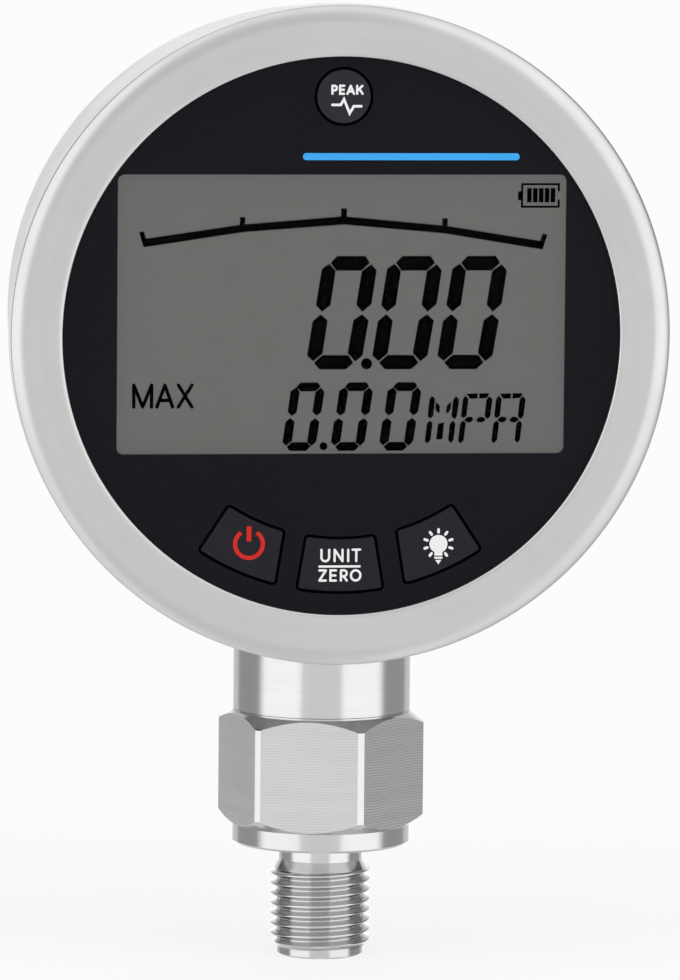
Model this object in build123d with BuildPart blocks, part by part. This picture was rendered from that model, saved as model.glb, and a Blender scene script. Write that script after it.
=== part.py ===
# Digital pressure gauge with a side-on round head and a threaded stem below it.
# Origin at the centre of the stem's end face, +Z up the stem, the display faces -Y.
from math import cos, radians, sin, sqrt
import os

from build123d import *

os.makedirs("parts", exist_ok=True)

# Stem, built up from its end face
thread_radius = 13.157 / 2
thread_depth = 1.0785
nose_setback = 0.8785
nose_edge_break = 0.2
nose_length = 1.0
nose_chamfer_length = 0.9
thread_length = 9.55
thread_run_out = 1.3
neck_length = 2.25
collar_radius = 23.5 / 2
collar_edge_break = 0.3
lower_collar_length = 2.5
hex_height = 15.0
hex_across_flats = 24.0
hex_corner_trim = 0.256
hex_chamfer_height = 1.4
hex_turn = -13.5
groove_depth = 0.2
upper_collar_length = 10.7
collar_into_saddle = 6.0
pressure_hole_radius = 4.0 / 2

# Round head, depths measured from the stem's axis
case_radius = 81.0 / 2
case_wall = 1.0
case_back = 18.5
case_edge_radius = 2.0
case_flange_width = 0.9
bezel_front = -22.0
bezel_sheet = 0.8
bezel_face_width = 6.6
bezel_face_round = 3.5
bezel_face_turn = 40.0
bezel_edge_round = 0.6
bezel_inner_chamfer = 0.3
bezel_clearance = 0.3
bezel_lip_width = 1.0
panel_thickness = 2.8
panel_edge_chamfer = 0.9
panel_edge_clearance = 0.8
gasket_thickness = 0.8
gasket_clearance = 0.7
gasket_setback = 0.1

# Display, fitted between the keys and as wide as the round opening allows
window_upper_gap = 6.55
window_lower_gap = 11.0
window_edge = 0.293
window_corner = 0.9
pane_thickness = 1.0
pane_setback = 0.9
pane_margin = 1.1
pane_clearance = 0.2
glass_margin = 0.8
glass_thickness = 2.8
small_gap = 0.3
frame_wall = 1.9
frame_clearance = 0.4
backlight_margin = 0.7
backlight_thickness = 1.8
strip_margin = 1.7
strip_height = 2.0
strip_edge = 0.4
strip_gap = 0.9
led_width = 3.0
led_height = 1.6
led_thickness = 0.8

# Keys: one round above the display, three sector keys below it
round_key_radius = 3.45
round_key_edge = 1.65
sector_key_height = 6.75
sector_key_edge = 2.95
key_half_angle = 9.5
key_spacing_inner_angle = 6.9
key_spacing_outer_angle = 5.4
side_key_angle = 18.4
key_corner = 0.35
key_gap = 0.35
key_stand_proud = 0.2
key_edge_round = 0.25
key_flange_overlap = 0.8
key_flange_thickness = 1.0
key_rest_gap = 0.2
key_travel = 0.5
key_stop_gap = 0.3
switch_side = 6.0
plunger_radius = 1.7
plunger_clearance = 0.06
plunger_insert = 1.4
plunger_end_gap = 0.5

# Main board and what it carries
board_clearance = 1.2
board_thickness = 1.6
boss_height = 5.4
boss_radius = 2.3
boss_edge = 1.6
upper_boss_angle = 30.0
lower_boss_angle = 42.0
board_screw_radius = 0.9
board_screw_clearance = 0.3
board_screw_head_radius = 2.0
board_screw_head_height = 1.5
board_screw_depth = 4.7
board_screw_slot_length = 2.2
board_screw_slot_width = 0.6
board_screw_slot_depth = 0.8
chip_side = 10.0
chip_height = 1.3
chip_lead_reach = 1.0
chip_lead_height = 0.2
chip_corner_gap = 0.8
chip_rise = 6.0
converter_width = 5.0
converter_height = 4.4
converter_thickness = 0.9
converter_drop = 5.0
crystal_length = 8.0
crystal_width = 3.2
crystal_height = 2.4
crystal_gap = 3.0
plug_height = 4.2
plug_depth = 4.0
sensor_plug_width = 8.0
sensor_plug_drop = 14.0
battery_plug_width = 5.0
battery_plug_side = 18.0
battery_plug_drop = 8.0

# Pressure sensor in the top of the stem
spigot_wall = 1.5
spigot_rise = 15.1
case_stem_clearance = 0.2
capsule_radius = 15.0 / 2
capsule_height = 5.5
capsule_clearance = 0.1
chamber_depth = 0.8
chamber_setback = 1.0
ring_setback = 1.7
ring_groove_width = 1.6
ring_groove_depth = 1.25
ring_section_radius = 0.6
retainer_step = 1.0
retainer_height = 3.0
retainer_lip = 3.0
retainer_clearance = 0.05
pin_radius = 0.25
pin_setback = 1.5
pin_above_retainer = 1.0
sensor_board_margin = 3.5
sensor_board_thickness = 1.0
sensor_lead_radius = 1.4
battery_wire_radius = 0.55
battery_wire_spacing = 2.0

# Battery compartment in the back of the case
battery_rise = 2.6
cell_radius = 10.5 / 2
cell_length = 44.5
cell_nub_radius = 1.9
cell_nub_length = 1.0
cell_edge_round = 0.5
cell_side_gap = 0.1
cell_floor_gap = 0.15
cell_cover_gap = 1.95
tray_floor = 1.3
tray_wall = 1.4
tray_end_room = 2.75
tray_side_room = 0.45
tray_rib_thickness = 0.5
tray_rib_height = 4.0
contact_thickness = 0.4
contact_width = 8.0
contact_tongue_width = 4.0
contact_tongue_rise = 3.0
contact_tongue_tip = 0.8
tray_boss_radius = 2.6
door_opening_margin = 0.4
door_opening_corner = 2.0
door_overlap = 6.0
door_corner = 5.5
door_thickness = 2.4
door_edge_round = 0.6
door_seal_thickness = 0.8
door_seal_margin = 0.5
door_seal_inner_margin = 0.3
door_lip_clearance = 0.4
door_lip_wall = 1.6
door_lip_height = 1.5
door_screw_inset = 1.5
door_screw_radius = 1.25
door_screw_clearance = 0.45
door_screw_seal_clearance = 0.65
door_screw_head_radius = 2.75
door_screw_head_height = 1.6
door_screw_sink_clearance = 0.35
door_screw_sink_depth = 1.3
door_screw_engagement = 8.5
door_screw_slot_length = 3.2
door_screw_slot_width = 0.8
door_screw_slot_depth = 1.0

# Heights along the stem that follow from the sizes above
thread_core_radius = thread_radius - thread_depth
nose_radius = thread_radius - nose_setback
thread_bottom = nose_length + nose_chamfer_length
thread_top = thread_bottom + thread_length
shoulder_height = thread_top + thread_run_out + neck_length
hex_bottom = shoulder_height + lower_collar_length
hex_top = hex_bottom + hex_height
hex_turned_radius = hex_across_flats / 2 / cos(radians(30)) - hex_corner_trim
case_bottom = hex_top + upper_collar_length
dial_height = case_bottom + case_radius
spigot_top = case_bottom + spigot_rise
capsule_top = spigot_top - retainer_height
capsule_bottom = capsule_top - capsule_height
pin_top = spigot_top + pin_above_retainer

# Radii of the sensor seat, from the capsule outwards and inwards
retainer_radius = capsule_radius + retainer_step
spigot_radius = retainer_radius + spigot_wall
retainer_bore_radius = capsule_radius - retainer_lip
ring_groove_radius = capsule_radius - ring_setback
chamber_radius = ring_groove_radius - ring_groove_width / 2 - chamber_setback
pin_circle_radius = retainer_bore_radius - pin_setback
sensor_board_radius = pin_circle_radius + sensor_board_margin

# Radii of the head, from the case outwards and inwards
case_inner_radius = case_radius - case_wall
case_flange_radius = case_radius + case_flange_width
bezel_skirt_radius = case_flange_radius + bezel_clearance
bezel_radius = bezel_skirt_radius + bezel_sheet
bezel_lip_radius = case_radius + bezel_clearance
bezel_opening_radius = bezel_radius - bezel_face_width
bezel_edge_centre_radius = bezel_radius - bezel_edge_round
bezel_edge_reach = (bezel_face_round - bezel_edge_round) * sin(radians(bezel_face_turn))
bezel_flat_radius = bezel_edge_centre_radius - bezel_edge_reach
bezel_turn_radius = bezel_flat_radius + bezel_face_round * sin(radians(bezel_face_turn))
bezel_inner_round = bezel_face_round - bezel_sheet
bezel_inner_reach = bezel_skirt_radius - bezel_flat_radius
panel_radius = bezel_skirt_radius - panel_edge_clearance
gasket_outer_radius = bezel_skirt_radius - gasket_clearance
gasket_inner_radius = case_inner_radius + gasket_setback
board_radius = case_inner_radius - board_clearance

# Depths through the head, front to back
panel_front = bezel_front + bezel_sheet
bezel_face_centre = bezel_front + bezel_face_round
bezel_turn_depth = bezel_face_centre - bezel_face_round * cos(radians(bezel_face_turn))
bezel_edge_drop = (bezel_face_round - bezel_edge_round) * cos(radians(bezel_face_turn))
bezel_side_front = bezel_face_centre - bezel_edge_drop
bezel_inner_side_front = bezel_face_centre - sqrt(bezel_inner_round**2 - bezel_inner_reach**2)
panel_back = panel_front + panel_thickness
case_front = panel_back + gasket_thickness
flange_rear = case_front + case_wall
pane_front = panel_front + pane_setback
pane_back = pane_front + pane_thickness
glass_front = pane_back + small_gap
glass_back = glass_front + glass_thickness
board_front = panel_back + boss_height
board_back = board_front + board_thickness
key_flange_front = panel_back + key_rest_gap
key_flange_back = key_flange_front + key_flange_thickness
switch_front = key_flange_back + key_travel + key_stop_gap
switch_height = board_front - switch_front
plunger_length = switch_front - key_flange_back + plunger_insert
switch_bore_depth = plunger_insert + key_travel + plunger_end_gap
plug_back = board_back + plug_height
tray_back = case_back - case_wall
cell_depth = tray_back - cell_cover_gap - cell_radius
tray_inside = cell_depth - cell_radius - cell_floor_gap
tray_front = tray_inside - tray_floor
door_inside = case_back + door_seal_thickness
door_outside = door_inside + door_thickness
door_screw_seat = door_outside - door_screw_sink_depth
door_screw_end = tray_back - door_screw_engagement

# Sizes in the dial's plane
round_key_height = bezel_opening_radius - round_key_edge - round_key_radius
key_outer_radius = bezel_opening_radius - sector_key_edge
key_inner_radius = key_outer_radius - sector_key_height
key_centre_radius = (key_inner_radius + key_outer_radius) / 2
window_top = round_key_height - round_key_radius - window_upper_gap
window_bottom = key_inner_radius - window_lower_gap
window_height = window_top + window_bottom
window_width = 2 * sqrt((bezel_opening_radius - window_edge) ** 2 - window_top**2)
display_rise = (window_top - window_bottom) / 2
display_height = dial_height + display_rise
pane_width = window_width + 2 * pane_margin
pane_height = window_height + 2 * pane_margin
glass_width = window_width + 2 * glass_margin
glass_height = window_height + 2 * glass_margin
frame_inner_width = glass_width + 2 * frame_clearance
frame_inner_height = glass_height + 2 * frame_clearance
strip_offset = glass_height / 2 - strip_edge - strip_height / 2
backlight_width = glass_width - 2 * backlight_margin
backlight_height = 2 * strip_offset - strip_height - 2 * strip_gap
side_key_near_inner_angle = key_half_angle + key_spacing_inner_angle
side_key_near_outer_angle = key_half_angle + key_spacing_outer_angle
side_key_far_angle = side_key_near_outer_angle + side_key_angle
side_key_near_angle = (side_key_near_inner_angle + side_key_near_outer_angle) / 2
side_key_centre_angle = (side_key_near_angle + side_key_far_angle) / 2
boss_pitch_radius = board_radius - boss_edge - boss_radius
battery_height = dial_height + battery_rise
cell_pitch = 2 * cell_radius + tray_rib_thickness + 2 * cell_side_gap
tray_cavity_width = cell_length + 2 * tray_end_room
tray_cavity_height = 2 * cell_pitch + 2 * cell_radius + 2 * tray_side_room
tray_width = tray_cavity_width + 2 * tray_wall
tray_height = tray_cavity_height + 2 * tray_wall
door_opening_width = tray_cavity_width
door_opening_height = tray_cavity_height + 2 * door_opening_margin
door_width = door_opening_width + 2 * door_overlap
door_height = door_opening_height + 2 * door_overlap
door_screw_x = door_opening_width / 2 + door_screw_inset
door_screw_z = door_opening_height / 2 + door_screw_inset
dial_axis = Axis((0, 0, dial_height), (0, 1, 0))
dial_side = Plane(origin=(0, 0, dial_height), x_dir=(1, 0, 0), z_dir=(0, 0, 1))


def face(depth, height=dial_height):
    """Plane parallel to the dial at a given depth, seen from the front."""
    return Plane(origin=(0, depth, height), x_dir=(1, 0, 0), z_dir=(0, -1, 0))


def around(radius, angle):
    """Point on a circle about the dial's centre, angle counted from straight down."""
    return (radius * sin(radians(angle)), -radius * cos(radians(angle)))


def save(part, label):
    """Name a finished piece and write it to its own file."""
    part.label = label
    export_step(part, f"parts/{label}.step")


def sector(near_inner, near_outer, far_inner, far_outer):
    """Key outline between two radii with rounded corners."""
    inner_near = around(key_inner_radius, near_inner)
    outer_near = around(key_outer_radius, near_outer)
    inner_far = around(key_inner_radius, far_inner)
    outer_far = around(key_outer_radius, far_outer)
    inner_middle = around(key_inner_radius, (near_inner + far_inner) / 2)
    outer_middle = around(key_outer_radius, (near_outer + far_outer) / 2)
    with BuildSketch() as outline:
        with BuildLine():
            Line(inner_near, outer_near)
            ThreePointArc(outer_near, outer_middle, outer_far)
            Line(outer_far, inner_far)
            ThreePointArc(inner_far, inner_middle, inner_near)
        make_face()
        fillet(outline.vertices(), key_corner)
    return outline.sketch


with BuildSketch() as round_outline:
    Circle(round_key_radius)

unit_outline = sector(-key_half_angle, -key_half_angle, key_half_angle, key_half_angle)
light_outline = sector(
    side_key_near_inner_angle, side_key_near_outer_angle, side_key_far_angle, side_key_far_angle
)
power_outline = mirror(light_outline, about=Plane.YZ)
peak_outline = Pos(0, round_key_height, 0) * round_outline.sketch
key_outlines = {
    "peak": peak_outline,
    "power": power_outline,
    "unit": unit_outline,
    "light": light_outline,
}
key_centres = {
    "peak": (0.0, round_key_height),
    "power": around(key_centre_radius, -side_key_centre_angle),
    "unit": around(key_centre_radius, 0.0),
    "light": around(key_centre_radius, side_key_centre_angle),
}
upper_boss = around(boss_pitch_radius, 180.0 - upper_boss_angle)
lower_boss = around(boss_pitch_radius, lower_boss_angle)
boss_places = [
    (upper_boss[0], upper_boss[1]),
    (-upper_boss[0], upper_boss[1]),
    (lower_boss[0], lower_boss[1]),
    (-lower_boss[0], lower_boss[1]),
]
door_screw_places = [
    (door_screw_x, door_screw_z),
    (-door_screw_x, door_screw_z),
    (door_screw_x, -door_screw_z),
    (-door_screw_x, -door_screw_z),
]

# Pressure port: one turned stainless piece with stem, hexagon, collars and sensor seat
with BuildPart() as pressure_port:
    with BuildSketch(Plane.XZ):
        with BuildLine():
            Polyline(
                (0, 0),
                (nose_radius - nose_edge_break, 0),
                (nose_radius, nose_edge_break),
                (nose_radius, nose_length),
                (thread_radius, thread_bottom),
                (thread_radius, thread_top),
                (thread_core_radius, thread_top + thread_run_out),
                (thread_core_radius, shoulder_height),
                (collar_radius - collar_edge_break, shoulder_height),
                (collar_radius, shoulder_height + collar_edge_break),
                (collar_radius, hex_bottom),
                (collar_radius, hex_top),
                (collar_radius - groove_depth, hex_top),
                (collar_radius - groove_depth, hex_top + groove_depth),
                (collar_radius, hex_top + groove_depth),
                (collar_radius, case_bottom + collar_into_saddle),
                (0, case_bottom + collar_into_saddle),
                close=True,
            )
        make_face()
    revolve(axis=Axis.Z)
    with BuildSketch(face(case_front)):
        Circle(case_radius + case_stem_clearance)
    extrude(amount=case_front - case_back, mode=Mode.SUBTRACT)
    with BuildSketch(Plane.XY.offset(hex_top)):
        Circle(spigot_radius)
    extrude(amount=spigot_top - hex_top)
with BuildPart() as hex_body:
    with BuildSketch(Plane.XY.offset(hex_bottom)):
        RegularPolygon(hex_across_flats / 2, 6, major_radius=False, rotation=hex_turn)
    extrude(amount=hex_top - hex_bottom)
    with BuildSketch(Plane.XZ):
        with BuildLine():
            Polyline(
                (0, hex_bottom),
                (collar_radius, hex_bottom),
                (hex_turned_radius, hex_bottom + hex_chamfer_height),
                (hex_turned_radius, hex_top - hex_chamfer_height),
                (collar_radius, hex_top),
                (0, hex_top),
                close=True,
            )
        make_face()
    revolve(axis=Axis.Z, mode=Mode.INTERSECT)
with BuildPart() as sensor_seat:
    with BuildSketch(Plane.XZ):
        with BuildLine():
            Polyline(
                (0, 0),
                (pressure_hole_radius, 0),
                (pressure_hole_radius, capsule_bottom - chamber_depth),
                (chamber_radius, capsule_bottom - chamber_depth),
                (chamber_radius, capsule_bottom),
                (ring_groove_radius - ring_groove_width / 2, capsule_bottom),
                (ring_groove_radius - ring_groove_width / 2, capsule_bottom - ring_groove_depth),
                (ring_groove_radius + ring_groove_width / 2, capsule_bottom - ring_groove_depth),
                (ring_groove_radius + ring_groove_width / 2, capsule_bottom),
                (capsule_radius + capsule_clearance, capsule_bottom),
                (capsule_radius + capsule_clearance, capsule_top),
                (retainer_radius + retainer_clearance, capsule_top),
                (retainer_radius + retainer_clearance, spigot_top),
                (0, spigot_top),
                close=True,
            )
        make_face()
    revolve(axis=Axis.Z)
port = pressure_port.part + hex_body.part - sensor_seat.part
save(port, "pressure_port")

# Case: deep-drawn stainless drum with a back wall, open at the front
with BuildPart() as case_shell:
    with BuildSketch(dial_side):
        with BuildLine():
            Polyline(
                (0, tray_back),
                (0, case_back),
                (case_radius - case_edge_radius, case_back),
            )
            RadiusArc(
                (case_radius - case_edge_radius, case_back),
                (case_radius, case_back - case_edge_radius),
                case_edge_radius,
            )
            Polyline(
                (case_radius, case_back - case_edge_radius),
                (case_radius, flange_rear),
                (case_flange_radius, flange_rear),
                (case_flange_radius, case_front),
                (case_inner_radius, case_front),
                (case_inner_radius, case_back - case_edge_radius),
            )
            RadiusArc(
                (case_inner_radius, case_back - case_edge_radius),
                (case_radius - case_edge_radius, tray_back),
                -(case_edge_radius - case_wall),
            )
            Line((case_radius - case_edge_radius, tray_back), (0, tray_back))
        make_face()
    revolve(axis=dial_axis)
    with BuildSketch(Plane.XY.offset(hex_top)):
        Circle(spigot_radius + case_stem_clearance)
    extrude(amount=spigot_top - hex_top, mode=Mode.SUBTRACT)
    with BuildSketch(face(case_back, battery_height)):
        RectangleRounded(door_opening_width, door_opening_height, door_opening_corner)
        with Locations(door_screw_places):
            Circle(door_screw_radius + door_screw_clearance)
    extrude(amount=case_wall, mode=Mode.SUBTRACT)
save(case_shell.part, "case_shell")

# Bezel: drawn stainless ring rolled behind the flange of the case
with BuildPart() as bezel_ring:
    with BuildSketch(dial_side):
        with BuildLine():
            Polyline(
                (bezel_opening_radius, panel_front),
                (bezel_opening_radius, bezel_front + bezel_inner_chamfer),
                (bezel_opening_radius + bezel_inner_chamfer, bezel_front),
                (bezel_flat_radius, bezel_front),
            )
            RadiusArc(
                (bezel_flat_radius, bezel_front),
                (bezel_turn_radius, bezel_turn_depth),
                -bezel_face_round,
            )
            RadiusArc(
                (bezel_turn_radius, bezel_turn_depth),
                (bezel_radius, bezel_side_front),
                -bezel_edge_round,
            )
            Polyline(
                (bezel_radius, bezel_side_front),
                (bezel_radius, flange_rear + bezel_lip_width),
                (bezel_lip_radius, flange_rear + bezel_lip_width),
                (bezel_lip_radius, flange_rear),
                (bezel_skirt_radius, flange_rear),
                (bezel_skirt_radius, bezel_inner_side_front),
            )
            RadiusArc(
                (bezel_skirt_radius, bezel_inner_side_front),
                (bezel_flat_radius, panel_front),
                bezel_inner_round,
            )
            Line((bezel_flat_radius, panel_front), (bezel_opening_radius, panel_front))
        make_face()
    revolve(axis=dial_axis)
save(bezel_ring.part, "bezel_ring")

# Panel gasket: flat rubber ring between the case flange and the front panel
with BuildPart() as panel_gasket:
    with BuildSketch(face(case_front)):
        Circle(gasket_outer_radius)
        Circle(gasket_inner_radius, mode=Mode.SUBTRACT)
    extrude(amount=gasket_thickness)
save(panel_gasket.part, "panel_gasket")

# Front panel: black moulded disc with the display window, four key holes and screw bosses
with BuildPart() as front_panel:
    with BuildSketch(face(panel_back)):
        Circle(panel_radius)
    extrude(amount=panel_thickness)
    chamfer(front_panel.edges().sort_by(Axis.Y)[0], panel_edge_chamfer)
    with BuildSketch(face(panel_back)):
        with Locations(boss_places):
            Circle(boss_radius)
    extrude(amount=-boss_height)
    with BuildSketch(face(board_front)):
        with Locations(boss_places):
            Circle(board_screw_radius)
    extrude(amount=board_screw_depth + small_gap, mode=Mode.SUBTRACT)
    with BuildSketch(face(panel_back, display_height)):
        RectangleRounded(window_width, window_height, window_corner)
    extrude(amount=panel_thickness, mode=Mode.SUBTRACT)
    with BuildSketch(face(panel_back, display_height)):
        Rectangle(pane_width + 2 * pane_clearance, pane_height + 2 * pane_clearance)
    extrude(amount=panel_thickness - pane_setback, mode=Mode.SUBTRACT)
    for outline in key_outlines.values():
        with BuildSketch(face(panel_back)):
            add(outline)
            offset(amount=key_gap)
        extrude(amount=panel_thickness, mode=Mode.SUBTRACT)
save(front_panel.part, "front_panel")

# Display window: clear pane seated in the rebate behind the panel opening
with BuildPart() as display_window:
    with BuildSketch(face(pane_back, display_height)):
        Rectangle(pane_width, pane_height)
    extrude(amount=pane_thickness)
save(display_window.part, "display_window")

# Display glass: two glass plates with polarisers between them and the light
with BuildPart() as lcd_glass:
    with BuildSketch(face(glass_back, display_height)):
        Rectangle(glass_width, glass_height)
    extrude(amount=glass_thickness)
save(lcd_glass.part, "lcd_glass")

# Display frame: moulded frame that holds the glass and stands on the main board
with BuildPart() as lcd_frame:
    with BuildSketch(face(board_front, display_height)):
        Rectangle(frame_inner_width + 2 * frame_wall, frame_inner_height + 2 * frame_wall)
        with Locations((0, -display_rise)):
            Circle(board_radius, mode=Mode.INTERSECT)
        Rectangle(frame_inner_width, frame_inner_height, mode=Mode.SUBTRACT)
    extrude(amount=boss_height - small_gap)
save(lcd_frame.part, "lcd_frame")

# Backlight: white diffuser block behind the glass
backlight_front = glass_back + small_gap / 2
with BuildPart() as backlight_panel:
    with BuildSketch(face(backlight_front + backlight_thickness, display_height)):
        Rectangle(backlight_width, backlight_height)
    extrude(amount=backlight_thickness)
save(backlight_panel.part, "backlight_panel")

# Backlight lamps: small lamps soldered behind the diffuser
with BuildPart() as backlight_leds:
    with BuildSketch(face(board_front, display_height)):
        with GridLocations(backlight_width / 3, backlight_height / 2, 3, 2):
            Rectangle(led_width, led_height)
    extrude(amount=led_thickness)
save(backlight_leds.part, "backlight_leds")

# Contact strips: rubber connector strips between the glass and the main board
with BuildPart() as contact_strips:
    with BuildSketch(face(board_front, display_height)):
        with Locations((0, strip_offset), (0, -strip_offset)):
            Rectangle(glass_width - 2 * strip_margin, strip_height)
    extrude(amount=board_front - glass_back)
save(contact_strips.part, "contact_strips")

# Main board: round circuit board screwed to the bosses of the front panel
with BuildPart() as main_board:
    with BuildSketch(face(board_back)):
        Circle(board_radius)
        with Locations(boss_places):
            Circle(board_screw_radius + board_screw_clearance, mode=Mode.SUBTRACT)
    extrude(amount=board_thickness)
save(main_board.part, "main_board")

# Board screws: four small self-tapping screws with a cross recess
with BuildPart() as board_screws:
    with BuildSketch(face(board_back)):
        with Locations(boss_places):
            Circle(board_screw_radius)
    extrude(amount=board_screw_depth + board_thickness)
    with BuildSketch(face(board_back)):
        with Locations(boss_places):
            Circle(board_screw_head_radius)
    extrude(amount=-board_screw_head_height)
    with BuildSketch(face(board_back + board_screw_head_height)):
        with Locations(boss_places):
            Rectangle(board_screw_slot_length, board_screw_slot_width)
            Rectangle(board_screw_slot_width, board_screw_slot_length)
    extrude(amount=board_screw_slot_depth, mode=Mode.SUBTRACT)
save(board_screws.part, "board_screws")

# Controller chip: square package with leads on all four sides
with BuildPart() as controller_chip:
    with BuildSketch(face(board_back, dial_height + chip_rise)):
        Rectangle(chip_side + 2 * chip_lead_reach, chip_side - 2 * chip_corner_gap)
        Rectangle(chip_side - 2 * chip_corner_gap, chip_side + 2 * chip_lead_reach)
    extrude(amount=-chip_lead_height)
    with BuildSketch(face(board_back + chip_lead_height, dial_height + chip_rise)):
        Rectangle(chip_side, chip_side)
    extrude(amount=-chip_height)
save(controller_chip.part, "controller_chip")

# Converter chip: smaller package with leads on two sides
with BuildPart() as converter_chip:
    with BuildSketch(face(board_back, dial_height - converter_drop)):
        Rectangle(converter_width - chip_corner_gap, converter_height + 2 * chip_lead_reach)
    extrude(amount=-chip_lead_height)
    with BuildSketch(face(board_back + chip_lead_height, dial_height - converter_drop)):
        Rectangle(converter_width, converter_height)
    extrude(amount=-converter_thickness)
save(converter_chip.part, "converter_chip")

# Crystal: rounded metal can lying on the board beside the controller chip
crystal_side = chip_side / 2 + chip_lead_reach + crystal_gap + crystal_length / 2
with BuildPart() as crystal_can:
    with BuildSketch(face(board_back)):
        with Locations((crystal_side, chip_rise)):
            SlotOverall(crystal_length, crystal_width)
    extrude(amount=-crystal_height)
save(crystal_can.part, "crystal_can")

# Sensor connector: plug housing on the back of the board
with BuildPart() as sensor_connector:
    with BuildSketch(face(board_back, dial_height - sensor_plug_drop)):
        Rectangle(sensor_plug_width, plug_depth)
    extrude(amount=-plug_height)
save(sensor_connector.part, "sensor_connector")

# Battery connector: two-way plug housing on the back of the board
with BuildPart() as battery_connector:
    with BuildSketch(face(board_back)):
        with Locations((-battery_plug_side, -battery_plug_drop)):
            Rectangle(battery_plug_width, plug_depth)
    extrude(amount=-plug_height)
save(battery_connector.part, "battery_connector")

# Keys: each cap has a rim behind the panel that keeps it in, and presses its own switch
for name, outline in key_outlines.items():
    centre = key_centres[name]
    with BuildPart() as key_cap:
        with BuildSketch(face(key_flange_front)):
            add(outline)
        extrude(amount=key_flange_front - panel_front + key_stand_proud)
        front_edges = key_cap.faces().sort_by(Axis.Y)[0].edges()
        fillet(front_edges, key_edge_round)
        with BuildSketch(face(key_flange_back)):
            add(outline)
            offset(amount=key_flange_overlap)
        extrude(amount=key_flange_thickness)
    save(key_cap.part, f"key_{name}")

    with BuildPart() as plunger:
        with BuildSketch(face(key_flange_back)):
            with Locations(centre):
                Circle(plunger_radius)
        extrude(amount=-plunger_length)
    save(plunger.part, f"plunger_{name}")

    with BuildPart() as switch:
        with BuildSketch(face(board_front)):
            with Locations(centre):
                Rectangle(switch_side, switch_side)
        extrude(amount=switch_height)
        with BuildSketch(face(switch_front)):
            with Locations(centre):
                Circle(plunger_radius + plunger_clearance)
        extrude(amount=-switch_bore_depth, mode=Mode.SUBTRACT)
    save(switch.part, f"switch_{name}")

# Sensor capsule: stainless pressure capsule with four pins on top
with BuildPart() as sensor_capsule:
    with BuildSketch(Plane.XY.offset(capsule_bottom)):
        Circle(capsule_radius)
    extrude(amount=capsule_top - capsule_bottom)
    with BuildSketch(Plane.XY.offset(capsule_top)):
        with PolarLocations(pin_circle_radius, 4):
            Circle(pin_radius)
    extrude(amount=pin_top - capsule_top)
save(sensor_capsule.part, "sensor_capsule")

# Sensor ring: rubber ring sealing the capsule against its seat
with BuildPart() as sensor_ring:
    with BuildSketch(Plane.XZ):
        with Locations((ring_groove_radius, capsule_bottom - ring_section_radius)):
            Circle(ring_section_radius)
    revolve(axis=Axis.Z)
save(sensor_ring.part, "sensor_ring")

# Sensor retainer: ring screwed in over the capsule
with BuildPart() as sensor_retainer:
    with BuildSketch(Plane.XY.offset(capsule_top)):
        Circle(retainer_radius)
        Circle(retainer_bore_radius, mode=Mode.SUBTRACT)
    extrude(amount=spigot_top - capsule_top)
save(sensor_retainer.part, "sensor_retainer")

# Sensor board: small round board on the capsule's pins
with BuildPart() as sensor_board:
    with BuildSketch(Plane.XY.offset(pin_top)):
        Circle(sensor_board_radius)
    extrude(amount=sensor_board_thickness)
save(sensor_board.part, "sensor_board")

# Sensor lead: flexible lead from the sensor board to its connector
lead_start = pin_top + sensor_board_thickness
lead_end = dial_height - sensor_plug_drop
with BuildPart() as sensor_lead:
    with BuildLine() as lead_route:
        Spline(
            (0, 0, lead_start),
            (0, plug_back / 8, (lead_start + lead_end) / 2 + sensor_lead_radius),
            (0, plug_back, lead_end),
            tangents=((0, 0, 1), (0, -1, 0)),
        )
    with BuildSketch(Plane.XY.offset(lead_start)):
        Circle(sensor_lead_radius)
    sweep(path=lead_route.line)
save(sensor_lead.part, "sensor_lead")

# Battery lead: two wires from the tray to the battery connector
wire_height = dial_height - battery_plug_drop
wire_starts = [
    -battery_plug_side - battery_wire_spacing / 2,
    -battery_plug_side + battery_wire_spacing / 2,
]
wires = []
for wire_start in wire_starts:
    with BuildPart() as wire:
        with BuildLine() as wire_route:
            Spline(
                (wire_start, tray_front, wire_height),
                (wire_start, (tray_front + plug_back) / 2, wire_height - battery_wire_spacing),
                (wire_start, plug_back, wire_height),
                tangents=((0, -1, 0), (0, -1, 0)),
            )
        with BuildSketch(face(tray_front, wire_height)):
            with Locations((wire_start, 0)):
                Circle(battery_wire_radius)
        sweep(path=wire_route.line)
    wires.append(wire.part)
battery_lead = Part() + wires
save(battery_lead, "battery_lead")

# Battery tray: moulded tray with three cell bays and four screw bosses
with BuildPart() as battery_tray:
    with BuildSketch(face(tray_back, battery_height)):
        Rectangle(tray_width, tray_height)
        with Locations(door_screw_places):
            Circle(tray_boss_radius)
    extrude(amount=tray_back - tray_front)
    with BuildSketch(face(tray_back, battery_height)):
        Rectangle(tray_cavity_width, tray_cavity_height)
    extrude(amount=tray_back - tray_inside, mode=Mode.SUBTRACT)
    with BuildSketch(face(tray_inside, battery_height)):
        with Locations((0, cell_pitch / 2), (0, -cell_pitch / 2)):
            Rectangle(tray_cavity_width, tray_rib_thickness)
    extrude(amount=-tray_rib_height)
    with BuildSketch(face(tray_back, battery_height)):
        with Locations(door_screw_places):
            Circle(door_screw_radius)
    extrude(amount=door_screw_engagement + small_gap, mode=Mode.SUBTRACT)
save(battery_tray.part, "battery_tray")

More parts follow.
